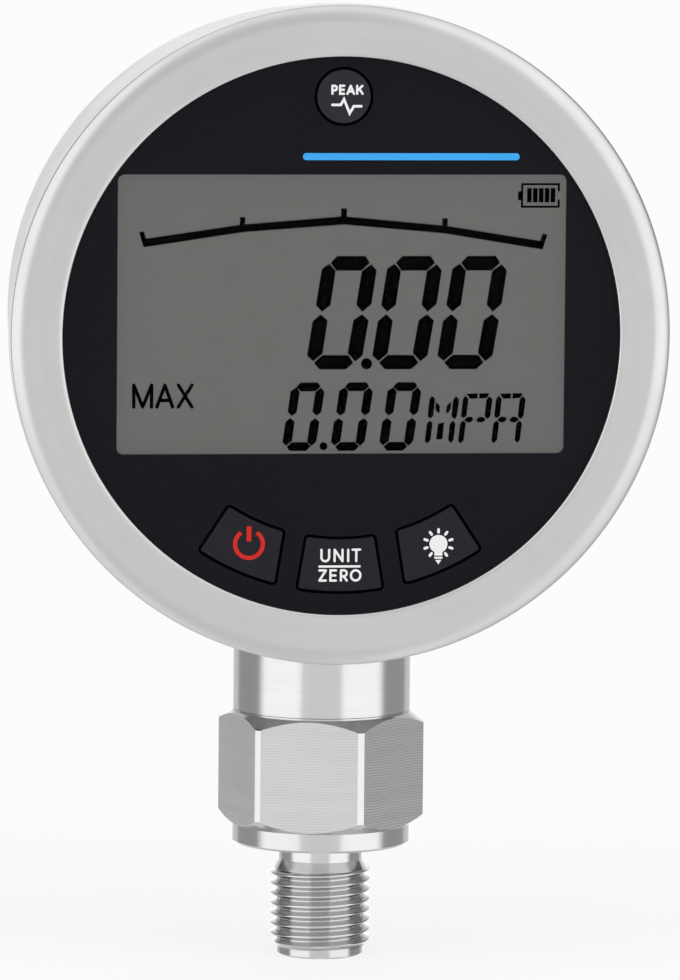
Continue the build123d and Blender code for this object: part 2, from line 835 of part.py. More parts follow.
# Battery cells: three cylindrical cells lying side by side, the middle one turned round
cell_rows = {"upper": (cell_pitch, 1), "middle": (0.0, -1), "lower": (-cell_pitch, 1)}
for row, (rise, direction) in cell_rows.items():
    cell_start = Plane(
        origin=(-direction * cell_length / 2, cell_depth, battery_height + rise),
        x_dir=(0, 0, 1),
        z_dir=(direction, 0, 0),
    )
    with BuildPart() as cell:
        with BuildSketch(cell_start):
            Circle(cell_radius)
        extrude(amount=cell_length - cell_nub_length)
        fillet(cell.edges(), cell_edge_round)
        with BuildSketch(cell_start.offset(cell_length - cell_nub_length)):
            Circle(cell_nub_radius)
        extrude(amount=cell_nub_length)
    save(cell.part, f"cell_{row}")

# Battery contacts: sheet plates at both ends of each cell with a bent spring tongue
plate_outer = tray_cavity_width / 2
plate_inner = plate_outer - contact_thickness
tongue_tip = cell_length / 2
tongue_back = tongue_tip + contact_thickness
tongue_foot = contact_tongue_rise - 1.5 * contact_thickness
with BuildPart() as battery_contacts:
    for side in (-1, 1):
        for row_rise in (cell_pitch, 0.0, -cell_pitch):
            with BuildSketch(face(cell_depth, battery_height + row_rise)):
                with Locations((side * (plate_outer + plate_inner) / 2, 0)):
                    Rectangle(contact_thickness, contact_width)
            extrude(amount=contact_width / 2, both=True)
            with BuildSketch(face(cell_depth, battery_height + row_rise)):
                with BuildLine():
                    Polyline(
                        (side * plate_inner, contact_tongue_rise),
                        (side * tongue_tip, contact_tongue_tip),
                        (side * tongue_tip, -contact_tongue_tip),
                        (side * plate_inner, -contact_tongue_rise),
                        (side * plate_inner, -tongue_foot),
                        (side * tongue_back, -contact_tongue_tip),
                        (side * tongue_back, contact_tongue_tip),
                        (side * plate_inner, tongue_foot),
                        close=True,
                    )
                make_face()
            extrude(amount=contact_tongue_width / 2, both=True)
save(battery_contacts.part, "battery_contacts")

# Battery cover seal: flat rubber frame between the case and the cover
with BuildPart() as door_seal:
    with BuildSketch(face(door_inside, battery_height)):
        RectangleRounded(
            door_width - 2 * door_seal_margin,
            door_height - 2 * door_seal_margin,
            door_corner - door_seal_margin,
        )
        RectangleRounded(
            door_opening_width + 2 * door_seal_inner_margin,
            door_opening_height + 2 * door_seal_inner_margin,
            door_opening_corner,
            mode=Mode.SUBTRACT,
        )
        with Locations(door_screw_places):
            Circle(door_screw_radius + door_screw_seal_clearance, mode=Mode.SUBTRACT)
    extrude(amount=door_seal_thickness)
save(door_seal.part, "battery_cover_seal")

# Battery cover: moulded plate with a locating rim, held by four screws
door_lip_width = door_opening_width - 2 * door_lip_clearance
door_lip_length = door_opening_height - 2 * door_lip_clearance
with BuildPart() as battery_cover:
    with BuildSketch(face(door_inside, battery_height)):
        RectangleRounded(door_width, door_height, door_corner)
    extrude(amount=-door_thickness)
    fillet(battery_cover.faces().sort_by(Axis.Y)[-1].edges(), door_edge_round)
    with BuildSketch(face(door_inside, battery_height)):
        RectangleRounded(
            door_lip_width,
            door_lip_length,
            door_opening_corner,
        )
        Rectangle(
            door_lip_width - 2 * door_lip_wall,
            door_lip_length - 2 * door_lip_wall,
            mode=Mode.SUBTRACT,
        )
    extrude(amount=door_lip_height)
    with BuildSketch(face(door_inside, battery_height)):
        with Locations(door_screw_places):
            Circle(door_screw_radius + door_screw_clearance)
    extrude(amount=-door_thickness, mode=Mode.SUBTRACT)
    with BuildSketch(face(door_outside, battery_height)):
        with Locations(door_screw_places):
            Circle(door_screw_head_radius + door_screw_sink_clearance)
    extrude(amount=door_screw_sink_depth, mode=Mode.SUBTRACT)
save(battery_cover.part, "battery_cover")

# Battery cover screws: four machine screws with a cross recess
with BuildPart() as door_screws:
    with BuildSketch(face(door_screw_seat, battery_height)):
        with Locations(door_screw_places):
            Circle(door_screw_radius)
    extrude(amount=door_screw_seat - door_screw_end)
    with BuildSketch(face(door_screw_seat, battery_height)):
        with Locations(door_screw_places):
            Circle(door_screw_head_radius)
    extrude(amount=-door_screw_head_height)
    with BuildSketch(face(door_screw_seat + door_screw_head_height, battery_height)):
        with Locations(door_screw_places):
            Rectangle(door_screw_slot_length, door_screw_slot_width)
            Rectangle(door_screw_slot_width, door_screw_slot_length)
    extrude(amount=door_screw_slot_depth, mode=Mode.SUBTRACT)
save(door_screws.part, "battery_cover_screws")
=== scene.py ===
from math import atan2, cos, degrees, pi, radians, sin, sqrt

import bpy
from mathutils import Matrix, Vector


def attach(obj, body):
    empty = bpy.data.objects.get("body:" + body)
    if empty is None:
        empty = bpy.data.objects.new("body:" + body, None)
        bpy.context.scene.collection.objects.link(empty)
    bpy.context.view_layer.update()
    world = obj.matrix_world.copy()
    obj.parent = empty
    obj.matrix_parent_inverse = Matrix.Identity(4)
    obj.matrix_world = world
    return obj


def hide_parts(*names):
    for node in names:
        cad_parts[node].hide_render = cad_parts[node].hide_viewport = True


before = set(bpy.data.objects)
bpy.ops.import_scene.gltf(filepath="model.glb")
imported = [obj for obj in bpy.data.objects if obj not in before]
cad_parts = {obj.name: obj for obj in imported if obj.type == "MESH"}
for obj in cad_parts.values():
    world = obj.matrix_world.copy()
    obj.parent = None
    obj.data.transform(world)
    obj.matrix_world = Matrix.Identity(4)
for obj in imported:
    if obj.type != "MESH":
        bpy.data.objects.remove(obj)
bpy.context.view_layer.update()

# Pressure port: one piece turned from stainless bar, with a milled hexagon for the wrench and a
# parallel pipe thread below it. It is drawn as a half profile and turned about the stem's axis,
# the thread is wound round it, and the saddle on top is cut to the round of the case.
MM = 0.001  # lengths are in millimetres, and this makes metres of them
DIAL = 83.7  # how high the dial's centre is above the end of the stem
AROUND_STEM = ((0, 0, 1), (0, 0, 0))
AROUND_DIAL = ((0, 1, 0), (0, 0, DIAL * MM))
SEAM = 0.002 * MM


def clear_selection():
    """Let go of every piece."""
    bpy.ops.object.select_all(action="DESELECT")


def only(piece):
    """Select one piece and nothing else."""
    clear_selection()
    piece.select_set(True)
    bpy.context.view_layer.objects.active = piece


def opened(piece):
    """Open one piece for editing, with all of it selected."""
    only(piece)
    bpy.ops.object.mode_set(mode="EDIT")
    bpy.ops.mesh.select_all(action="SELECT")


def end_editing():
    """Stop editing and stand back from the piece."""
    bpy.ops.object.mode_set(mode="OBJECT")


def drawn(name, points):
    """A line drawn point by point, each corner extruded from the one before it."""
    clear_selection()
    bpy.ops.mesh.primitive_plane_add(size=MM)
    line = bpy.context.object
    line.name = name
    bpy.ops.object.mode_set(mode="EDIT")
    bpy.ops.mesh.select_mode(type="VERT")
    bpy.ops.mesh.merge(type="CENTER")
    bpy.ops.transform.translate(value=Vector(points[0]) * MM)
    here = Vector(points[0])
    for point in points[1:]:
        step = (Vector(point) - here) * MM
        bpy.ops.mesh.extrude_vertices_move(TRANSFORM_OT_translate={"value": step})
        here = Vector(point)
    end_editing()
    return line


def closed(piece):
    """Close the seams of a shape and face it outwards."""
    opened(piece)
    bpy.ops.mesh.remove_doubles(threshold=SEAM)
    bpy.ops.mesh.normals_make_consistent(inside=False)
    end_editing()
    return piece


def turned(name, profile, about=AROUND_STEM, steps=144):
    """A shape turned from a half profile of (radius, length along the axis)."""
    axis, centre = about
    upright = about is AROUND_STEM
    points = [(far, 0, along) if upright else (far, along, DIAL) for far, along in profile]
    piece = drawn(name, points)
    opened(piece)
    bpy.ops.mesh.spin(steps=steps, angle=2 * pi, center=centre, axis=axis)
    end_editing()
    return closed(piece)


def rod(radius, start, end):
    """Half profile of a plain rod or disc."""
    return [(0, start), (radius, start), (radius, end), (0, end)]


def combined(piece, other, how):
    """Join, cut or keep the overlap of two solids; the second one is used up."""
    only(piece)
    step = piece.modifiers.new("join", "BOOLEAN")
    step.operation = how
    step.solver = "EXACT"
    step.object = other
    bpy.ops.object.modifier_apply(modifier=step.name)
    bpy.data.objects.remove(other)
    return piece


def smooth(piece, angle=30):
    """Round faces shade smoothly and corners stay sharp."""
    only(piece)
    bpy.ops.object.shade_smooth_by_angle(angle=radians(angle))
    return piece


NOSE_RADIUS = 5.7
NOSE_LENGTH = 1.0
CORE_RADIUS = 5.45
THREAD_TOP = 11.45
RUN_OUT = 1.3
RUN_OUT_RADIUS = 6.1
NECK_RADIUS = 5.5
SHOULDER = 15.0
COLLAR_RADIUS = 11.75
HEX_BOTTOM = 17.5
HEX_TOP = 32.5
GROOVE = 0.2
PORT_TOP = 49.2
SPIGOT_RADIUS = 10.0
SPIGOT_FOOT = 40.0
SPIGOT_TOP = 58.3
CASE_RADIUS = 40.5
CASE_FRONT = -17.6
CASE_BACK = 18.5

body_profile = [
    (0, NOSE_LENGTH + 0.5),
    (CORE_RADIUS, NOSE_LENGTH + 0.5),
    (CORE_RADIUS, THREAD_TOP - 0.2),
    (RUN_OUT_RADIUS - 0.02, THREAD_TOP - 0.04),
    (RUN_OUT_RADIUS + 0.02, THREAD_TOP + 0.04),
    (NECK_RADIUS, THREAD_TOP + RUN_OUT),
    (NECK_RADIUS, SHOULDER - 0.15),
    (NECK_RADIUS + 0.15, SHOULDER),
    (COLLAR_RADIUS - 0.3, SHOULDER),
    (COLLAR_RADIUS, SHOULDER + 0.3),
    (COLLAR_RADIUS, HEX_TOP - 0.05),
    (COLLAR_RADIUS - GROOVE, HEX_TOP),
    (COLLAR_RADIUS - GROOVE, HEX_TOP + GROOVE),
    (COLLAR_RADIUS - 0.1, HEX_TOP + GROOVE),
    (COLLAR_RADIUS, HEX_TOP + GROOVE + 0.1),
    (COLLAR_RADIUS, PORT_TOP),
    (0, PORT_TOP),
]
port = turned("pressure_port_turned", body_profile)
drum_space = rod(CASE_RADIUS + 0.2, CASE_FRONT, CASE_BACK)
combined(port, turned("saddle", drum_space, AROUND_DIAL, 288), "DIFFERENCE")
combined(port, turned("spigot", rod(SPIGOT_RADIUS, SPIGOT_FOOT, SPIGOT_TOP)), "UNION")

# The hexagon: a six-sided block whose corners are turned down and chamfered at both ends
HEX_FLATS = 24.0
HEX_TURN = -13.5
HEX_TURNED_RADIUS = 13.6
HEX_CHAMFER = 1.4
clear_selection()
bpy.ops.mesh.primitive_cylinder_add(
    vertices=6,
    radius=HEX_FLATS / 2 / cos(radians(30)) * MM,
    depth=(HEX_TOP - HEX_BOTTOM) * MM,
    location=(0, 0, (HEX_TOP + HEX_BOTTOM) / 2 * MM),
    rotation=(0, 0, radians(HEX_TURN - 30)),
)
hexagon = bpy.context.object
bpy.ops.object.transform_apply(location=True, rotation=True, scale=True)
hex_profile = [
    (0, HEX_BOTTOM),
    (COLLAR_RADIUS, HEX_BOTTOM),
    (HEX_TURNED_RADIUS - 0.1, HEX_BOTTOM + HEX_CHAMFER - 0.06),
    (HEX_TURNED_RADIUS, HEX_BOTTOM + HEX_CHAMFER + 0.06),
    (HEX_TURNED_RADIUS, HEX_TOP - HEX_CHAMFER - 0.06),
    (HEX_TURNED_RADIUS - 0.1, HEX_TOP - HEX_CHAMFER + 0.06),
    (COLLAR_RADIUS, HEX_TOP),
    (0, HEX_TOP),
]
combined(hexagon, turned("hex_turning", hex_profile, steps=240), "INTERSECT")
combined(port, hexagon, "UNION")

# The thread: one ridge with a round crest and a round root, wound upwards to the right
THREAD_RADIUS = 6.5785
PITCH = 1.337
FLANK = 90 - 27.5
THREAD_ROOT = THREAD_RADIUS - 0.6403 * PITCH
THREAD_ROUND = 0.1373 * PITCH
THREAD_START = 0.08 - PITCH
WINDINGS = 11
FINE_CUT = 0.0001 * MM
half_ridge = []
for angle in (0, 21, 42, FLANK):
    out, along = THREAD_ROUND * cos(radians(angle)), THREAD_ROUND * sin(radians(angle))
    half_ridge.append((THREAD_ROOT + THREAD_ROUND - out, along))
for angle in (FLANK, 42, 21, 7):
    out, along = THREAD_ROUND * cos(radians(angle)), THREAD_ROUND * sin(radians(angle))
    half_ridge.append((THREAD_RADIUS - THREAD_ROUND + out, PITCH / 2 - along))
ridge = [(out, 0, along) for out, along in half_ridge]
ridge += [(out, 0, PITCH - along) for out, along in reversed(half_ridge)]
thread = drawn("thread", [(x, y, z + THREAD_START) for x, y, z in ridge])
winding = thread.modifiers.new("winding", "SCREW")
winding.axis = "Z"
winding.angle = 2 * pi
winding.screw_offset = PITCH * MM
winding.iterations = WINDINGS
winding.steps = winding.render_steps = 96
winding.use_merge_vertices = True
winding.merge_threshold = SEAM
only(thread)
bpy.ops.object.modifier_apply(modifier=winding.name)
for height, away in ((NOSE_LENGTH + 0.1, -1), (THREAD_TOP, 1)):
    opened(thread)
    bpy.ops.mesh.bisect(
        plane_co=(0, 0, height * MM),
        plane_no=(0, 0, away),
        use_fill=True,
        clear_outer=True,
        threshold=FINE_CUT,
    )
    end_editing()
closed(thread)

# The thread starts at the chamfer of the nose, and the nose stands out below it
CLEAR = 0.04
nose_chamfer = [
    (0, NOSE_LENGTH),
    (NOSE_RADIUS, NOSE_LENGTH),
    (THREAD_RADIUS + CLEAR, NOSE_LENGTH + 0.94),
    (THREAD_RADIUS + CLEAR, THREAD_TOP + 0.2),
    (0, THREAD_TOP + 0.2),
]
combined(thread, turned("nose_chamfer", nose_chamfer), "INTERSECT")
combined(port, thread, "UNION")
nose = [
    (0, 0),
    (NOSE_RADIUS - 0.2, 0),
    (NOSE_RADIUS, 0.2),
    (NOSE_RADIUS, NOSE_LENGTH + 0.06),
    (NOSE_RADIUS - 0.08, NOSE_LENGTH + 0.7),
    (0, NOSE_LENGTH + 0.7),
]
combined(port, turned("nose", nose), "UNION")

# The bore for the pressure and the stepped seat of the sensor inside the spigot
BORE = 2.0
seat_profile = [
    (0, -1.0),
    (2.25, -1.0),
    (2.25, 0.0),
    (BORE, 0.25),
    (BORE, 49.0),
    (4.0, 49.0),
    (4.0, 49.8),
    (5.0, 49.8),
    (5.0, 48.55),
    (6.6, 48.55),
    (6.6, 49.8),
    (7.6, 49.8),
    (7.6, 55.3),
    (8.55, 55.3),
    (8.55, 59.3),
    (0, 59.3),
]
combined(port, turned("seat", seat_profile, steps=96), "DIFFERENCE")
smooth(port, 24)
port.name = port.data.name = "pressure_port_turned"


def sockets(group, inputs, outputs):
    """Give a node group its named inputs, with their defaults, and its outputs."""
    for name, kind, value in inputs:
        made = group.interface.new_socket(name, in_out="INPUT", socket_type=kind)
        made.default_value = value
    for name, kind in outputs:
        group.interface.new_socket(name, in_out="OUTPUT", socket_type=kind)
    return group.nodes.new("NodeGroupInput"), group.nodes.new("NodeGroupOutput")


def plugged(tree, node, **inputs):
    """Set a node's inputs, or link them to what feeds them."""
    for name, value in inputs.items():
        key = int(name[1:]) if name[0] == "i" and name[1:].isdigit() else name.replace("_", " ")
        if isinstance(value, bpy.types.NodeSocket):
            tree.links.new(value, node.inputs[key])
        else:
            node.inputs[key].default_value = value
    return node


def wired(tree, kind, settings=None, **inputs):
    """Add a node, set what it needs and plug its inputs in."""
    node = tree.nodes.new(kind)
    for name, value in (settings or {}).items():
        setattr(node, name, value)
    return plugged(tree, node, **inputs)


def computed(tree, operation, *values):
    """The result of one step of arithmetic."""
    places = {f"i{at}": value for at, value in enumerate(values)}
    return wired(tree, "ShaderNodeMath", {"operation": operation}, **places).outputs[0]


def vector_step(tree, operation, *values):
    """The result of one step of arithmetic on places or directions."""
    places = {f"i{at}": value for at, value in enumerate(values)}
    outputs = wired(tree, "ShaderNodeVectorMath", {"operation": operation}, **places).outputs
    return outputs["Value" if operation in ("LENGTH", "DOT_PRODUCT") else "Vector"]


def ranged(tree, value, start=0.0, end=1.0, low=0.0, high=1.0, soft=False):
    """A value carried over from one range to another."""
    way = {"interpolation_type": "SMOOTHSTEP" if soft else "LINEAR"}
    places = {"i0": value, "i1": start, "i2": end, "i3": low, "i4": high}
    return wired(tree, "ShaderNodeMapRange", way, **places).outputs[0]


def mixed(tree, share, first, second, how="MIX"):
    """Two colours mixed, the second one by its share."""
    pair = [(*tone, 1) if isinstance(tone, (tuple, list)) else tone for tone in (first, second)]
    way = {"data_type": "RGBA", "blend_type": how}
    return wired(tree, "ShaderNodeMix", way, i0=share, i6=pair[0], i7=pair[1]).outputs[2]


def scaled(colour, by):
    """A lighter or darker tone of a colour."""
    return [part * by for part in colour]


def effect(tree, group, **inputs):
    """The outputs of a group of nodes placed in a material."""
    return wired(tree, "ShaderNodeGroup", {"node_tree": group}, **inputs).outputs


def tool_mark_group():
    """Fine parallel marks along one coordinate: free scratches, or the even cusps of a cutter."""
    group = bpy.data.node_groups.new("Tool marks", "ShaderNodeTree")
    given, out = sockets(
        group,
        [
            ("Along", "NodeSocketFloat", 0.0),
            ("Pitch", "NodeSocketFloat", 0.0002),
            ("Even", "NodeSocketFloat", 0.0),
        ],
        [("Height", "NodeSocketFloat"), ("Streaks", "NodeSocketFloat")],
    )
    place = computed(group, "DIVIDE", given.outputs["Along"], given.outputs["Pitch"])
    line = {"noise_dimensions": "1D"}
    fine = wired(group, "ShaderNodeTexNoise", line, W=place, Scale=1.0, Detail=3.0)
    broad = wired(group, "ShaderNodeTexNoise", line, W=place, Scale=0.13, Detail=2.0)
    cusps = computed(group, "PINGPONG", place, 0.5)
    uneven = computed(group, "MULTIPLY_ADD", broad.outputs[0], 2.0, 0.8)
    even = computed(group, "MULTIPLY", cusps, uneven)
    for free, name in ((fine, "Height"), (broad, "Streaks")):
        places = {"i0": given.outputs["Even"], "i2": free.outputs[0], "i3": even}
        chosen = wired(group, "ShaderNodeMix", {"data_type": "FLOAT"}, **places)
        group.links.new(chosen.outputs[0], out.inputs[name])
    return group


def handling_group():
    """Soft cloudy patches where a surface has been wiped and handled, and a few tiny specks."""
    group = bpy.data.node_groups.new("Handling", "ShaderNodeTree")
    given, out = sockets(
        group,
        [("Vector", "NodeSocketVector", (0, 0, 0)), ("Size", "NodeSocketFloat", 0.01)],
        [("Patches", "NodeSocketFloat"), ("Specks", "NodeSocketFloat")],
    )
    place = given.outputs["Vector"]
    near = computed(group, "DIVIDE", 1.0, given.outputs["Size"])
    cloud = wired(group, "ShaderNodeTexNoise", Vector=place, Scale=near, Detail=2.0, Roughness=0.5)
    dots = wired(group, "ShaderNodeTexVoronoi", Vector=place, Scale=1 / (2.2 * MM))
    patches = ranged(group, cloud.outputs[0], 0.15, 0.85)
    specks = ranged(group, dots.outputs["Distance"], 0.085, 0.05)
    group.links.new(patches, out.inputs["Patches"])
    group.links.new(specks, out.inputs["Specks"])
    return group


tool_marks = tool_mark_group()
handling = handling_group()


def new_material(name):
    """An empty material with its shader and the object's own coordinates."""
    material = bpy.data.materials.new(name)
    material.use_nodes = True
    tree = material.node_tree
    shader = tree.nodes["Principled BSDF"]
    place = tree.nodes.new("ShaderNodeTexCoord").outputs["Object"]
    return material, tree, shader, place


def handled(tree, place, size):
    """The patches and specks of handling, the patches about as large as this."""
    return effect(tree, handling, Vector=place, Size=size * MM)


def distance_from(tree, place, axis):
    """How far a point lies along an axis, or from the dial's axis."""
    if axis == "dial radius":
        centred = vector_step(tree, "SUBTRACT", place, (0, 0, DIAL * MM))
        flat = vector_step(tree, "MULTIPLY", centred, (1, 0, 1))
        return vector_step(tree, "LENGTH", flat)
    parts = wired(tree, "ShaderNodeSeparateXYZ", i0=place).outputs
    if axis == "cutter path":
        wander = wired(tree, "ShaderNodeTexNoise", Vector=place, Scale=1 / (7 * MM), Detail=1.0)
        leaning = computed(tree, "MULTIPLY_ADD", parts["X"], 0.02, parts["Z"])
        return computed(tree, "MULTIPLY_ADD", wander.outputs[0], 0.5 * MM, leaning)
    return parts[axis]


def bumped(tree, depth, height):
    """The directions that a surface with this relief faces."""
    return wired(tree, "ShaderNodeBump", Distance=depth * MM, Height=height).outputs[0]


CLOUDED = (0.93, 0.93, 0.93)
NICKED = 0.88


def steel(name, colour, rough, axis, pitch, depth, contrast=0.06, spread=0.05, even=0.0):
    """Stainless steel with the marks of its last tool and faint patches from handling."""
    material, tree, shader, place = new_material(name)
    along = distance_from(tree, place, axis)
    marks = effect(tree, tool_marks, Along=along, Pitch=pitch * MM, Even=even)
    wear = handled(tree, place, 9)
    tone = mixed(tree, marks["Streaks"], scaled(colour, 1 - contrast), colour)
    clouded = mixed(tree, wear["Patches"], tone, CLOUDED, "MULTIPLY")
    nicked = mixed(tree, wear["Specks"], clouded, scaled(colour, NICKED))
    gloss = ranged(tree, wear["Patches"], low=rough, high=rough + spread)
    bump = bumped(tree, depth, marks["Height"])
    plugged(tree, shader, Metallic=1.0, Base_Color=nicked, Roughness=gloss, Normal=bump)
    return material


def skinned(piece, *materials):
    """Give a piece its finish."""
    piece.data.materials.clear()
    for material in materials:
        piece.data.materials.append(material)


STEEL = (0.60, 0.60, 0.595)
LATHE = {"axis": "Z", "pitch": 0.12, "depth": 0.0012}
turned_steel = steel("turned steel", STEEL, 0.14, **LATHE)
# A slightly darker copy of the turned steel on the flanks and roots of the thread and on the nose:
# painted shade of the grooves
thread_steel_painted_shade = steel("thread steel painted shade", (0.56, 0.56, 0.555), 0.1, **LATHE)
# A much lighter copy of the same steel on the run-out cone: painted light, which lifts the shade of
# the collar's underside mirrored in the cone
run_out_painted_bright = steel("run-out steel painted bright", (0.85, 0.85, 0.84), 0.14, **LATHE)
CUTTER = {"axis": "cutter path", "pitch": 0.36, "depth": 0.030, "contrast": 0.24, "even": 0.8}
# A lighter copy of the same steel on the hexagon's flats: painted light that brightens them, while
# the cusps of the cutter on them are real
milled_steel_painted_light = steel("milled steel painted light", (0.735, 0.735, 0.73), 0.31, spread=0.04, **CUTTER)
skinned(port, turned_steel, milled_steel_painted_light, thread_steel_painted_shade, run_out_painted_bright)
MILLED_PAINTED_LIGHT, THREAD_PAINTED_SHADE, RUN_OUT_PAINTED_BRIGHT = 1, 2, 3
# Faces of the thread below its crests and of the nose take the darker copy with its painted shade;
# the run-out cone and the hexagon's flats take the lighter copies with their painted light
for face in port.data.polygons:
    centre = face.center / MM
    from_axis = centre.xy.length
    if centre.z < THREAD_TOP and NOSE_RADIUS - 0.1 < from_axis < THREAD_RADIUS - 0.05:
        face.material_index = THREAD_PAINTED_SHADE
    on_cone = NECK_RADIUS < from_axis < RUN_OUT_RADIUS + 0.1
    if on_cone and THREAD_TOP < centre.z < THREAD_TOP + RUN_OUT:
        face.material_index = RUN_OUT_PAINTED_BRIGHT
    if HEX_BOTTOM < centre.z < HEX_TOP and abs(face.normal.z) < 0.01:
        across = centre.x * face.normal.x + centre.y * face.normal.y
        if abs(across - HEX_FLATS / 2) < 0.02:
            face.material_index = MILLED_PAINTED_LIGHT
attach(port, "gauge")
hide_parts("pressure_port")

# Case: a drum drawn from stainless sheet, with a flange at the front for the bezel and a wall at
# the back that is open for the batteries. It is turned from its section, then cut for the
# battery tray, the screws and the spigot of the port, which is welded into it.
CASE_INNER = 39.5
CASE_SHEET = 1.0
FLANGE_RADIUS = 41.4
BACK_ROUND = 2.0
ROUND_CENTRE = (CASE_RADIUS - BACK_ROUND, CASE_BACK - BACK_ROUND)
FLAT = 0.6
BATTERY = 86.3


def arc(centre, radius, start, end, steps):
    """Points along a quarter round or any other arc, angles in degrees."""
    turns = [radians(start + (end - start) * step / steps) for step in range(steps + 1)]
    return [(centre[0] + radius * cos(turn), centre[1] + radius * sin(turn)) for turn in turns]


case_profile = [
    (0, CASE_BACK - CASE_SHEET),
    (0, CASE_BACK),
    (CASE_RADIUS - BACK_ROUND - FLAT, CASE_BACK),
    *arc(ROUND_CENTRE, BACK_ROUND, 90, 0, 8),
    (CASE_RADIUS, CASE_BACK - BACK_ROUND - FLAT),
    (CASE_RADIUS, CASE_FRONT + CASE_SHEET + 0.3),
    (CASE_RADIUS + 0.2, CASE_FRONT + CASE_SHEET),
    (FLANGE_RADIUS, CASE_FRONT + CASE_SHEET),
    (FLANGE_RADIUS, CASE_FRONT),
    (CASE_INNER, CASE_FRONT),
    (CASE_INNER, CASE_BACK - BACK_ROUND - FLAT),
    *arc(ROUND_CENTRE, BACK_ROUND - CASE_SHEET, 0, 90, 5),
    (CASE_RADIUS - BACK_ROUND - FLAT, CASE_BACK - CASE_SHEET),
    (0, CASE_BACK - CASE_SHEET),
]
case = turned("case_drum", case_profile, AROUND_DIAL, 192)


def block(name, size, centre, corner):
    """A solid block, with its corners round about the dial's direction."""
    clear_selection()
    bpy.ops.mesh.primitive_cube_add(size=1, location=Vector(centre) * MM, scale=Vector(size) * MM)
    piece = bpy.context.object
    piece.name = name
    bpy.ops.object.transform_apply(location=True, rotation=True, scale=True)
    bpy.ops.object.mode_set(mode="EDIT")
    bpy.ops.mesh.select_all(action="DESELECT")
    end_editing()
    for edge in piece.data.edges:
        ends = [piece.data.vertices[end].co for end in edge.vertices]
        edge.select = abs((ends[0] - ends[1]).normalized().y) > 0.9
    bpy.ops.object.mode_set(mode="EDIT")
    bpy.ops.mesh.select_mode(type="EDGE")
    bpy.ops.mesh.bevel(offset=corner * MM, segments=5)
    end_editing()
    return piece


TRAY_OPENING = (50.0, 4.0, 34.6)
SCREW_HOLE = 1.7
DOOR_SCREWS = [(x, z) for x in (-26.5, 26.5) for z in (-18.8, 18.8)]
opening = block("battery_opening", TRAY_OPENING, (0, CASE_BACK, BATTERY), 2.0)
combined(case, opening, "DIFFERENCE")
for x, z in DOOR_SCREWS:
    clear_selection()
    bpy.ops.mesh.primitive_cylinder_add(
        vertices=32,
        radius=SCREW_HOLE * MM,
        depth=4 * MM,
        location=(x * MM, CASE_BACK * MM, (BATTERY + z) * MM),
        rotation=(radians(90), 0, 0),
    )
    combined(case, bpy.context.object, "DIFFERENCE")
combined(case, turned("spigot_hole", rod(SPIGOT_RADIUS + 0.2, 35, 60)), "DIFFERENCE")
smooth(case)
drawn_steel = steel("drawn steel", STEEL, 0.285, "Y", pitch=0.35, depth=0.0014, contrast=0.05)
skinned(case, drawn_steel)
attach(case, "gauge")
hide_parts("case_shell")

# Moulded plastics and rubbers: coloured through, with the fine grain of the mould they come from.
# They finish the inside of the gauge too, which only shows when it is taken apart.


def grain_group():
    """The fine matt grain of a moulded surface."""
    group = bpy.data.node_groups.new("Mould grain", "ShaderNodeTree")
    given, out = sockets(
        group,
        [("Vector", "NodeSocketVector", (0, 0, 0)), ("Size", "NodeSocketFloat", 0.0003)],
        [("Height", "NodeSocketFloat")],
    )
    near = computed(group, "DIVIDE", 1.0, given.outputs["Size"])
    place = given.outputs["Vector"]
    pits = wired(group, "ShaderNodeTexNoise", Vector=place, Scale=near, Detail=3.0, Roughness=0.6)
    group.links.new(pits.outputs[0], out.inputs["Height"])
    return group


mould_grain = grain_group()


def grained(tree, place, size):
    """The height of the mould's grain, each grain about as large as this."""
    return effect(tree, mould_grain, Vector=place, Size=size * MM)["Height"]


def moulded(name, colour, rough, grain=0.3, depth=0.008, specular=0.4, change=0.12):
    """A moulded or rubber surface in one colour, with grain and faint patches."""
    material, tree, shader, place = new_material(name)
    skin = grained(tree, place, grain)
    wear = handled(tree, place, 14)
    tone = mixed(tree, wear["Patches"], colour, scaled(colour, 1 + change))
    dusty = mixed(tree, wear["Specks"], tone, [part * 1.2 + 0.006 for part in colour])
    gloss = ranged(tree, wear["Patches"], low=rough, high=rough * 0.88)
    bump = bumped(tree, depth, skin)
    plugged(tree, shader, Specular_IOR_Level=specular, Base_Color=dusty)
    plugged(tree, shader, Roughness=gloss, Normal=bump)
    return material


def finish(node, material):
    """Give a solid of the frame its finish."""
    skinned(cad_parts[node], material)


finish("sensor_capsule", steel("capsule steel", STEEL, 0.22, "Z", pitch=0.2, depth=0.001))
grey_steel = (0.52, 0.52, 0.5)
finish("sensor_retainer", steel("retainer steel", grey_steel, 0.3, "Z", pitch=0.15, depth=0.002))
black = (0.012, 0.012, 0.012)
nitrile = moulded("black rubber", black, 0.62, grain=0.2, depth=0.006, specular=0.35)
finish("sensor_ring", nitrile)
finish("panel_gasket", nitrile)
finish("contact_strips", moulded("strip rubber", (0.32, 0.33, 0.34), 0.55, grain=0.1))
black = (0.016, 0.016, 0.017)
silicone = moulded("seal rubber", black, 0.6, grain=0.25, depth=0.01, specular=0.35)
finish("battery_cover_seal", silicone)

# Boards: green laminate with tracks that show through the solder resist. The chips, plugs, lamps,
# switches and leads on them, and the frame that holds the display, get their finish here too.


def laminate(name, colour, track):
    """Circuit board with tracks showing through its green resist."""
    material, tree, shader, place = new_material(name)
    tracks = wired(
        tree,
        "ShaderNodeTexVoronoi",
        {"distance": "CHEBYCHEV"},
        Vector=place,
        Scale=1 / (2.6 * MM),
        Randomness=0.8,
    )
    lines = ranged(tree, tracks.outputs["Distance"], 0.36, 0.40, soft=True)
    tone = mixed(tree, lines, colour, track)
    bump = bumped(tree, 0.03, lines)
    plugged(tree, shader, Roughness=0.38, Base_Color=tone, Normal=bump)
    return material


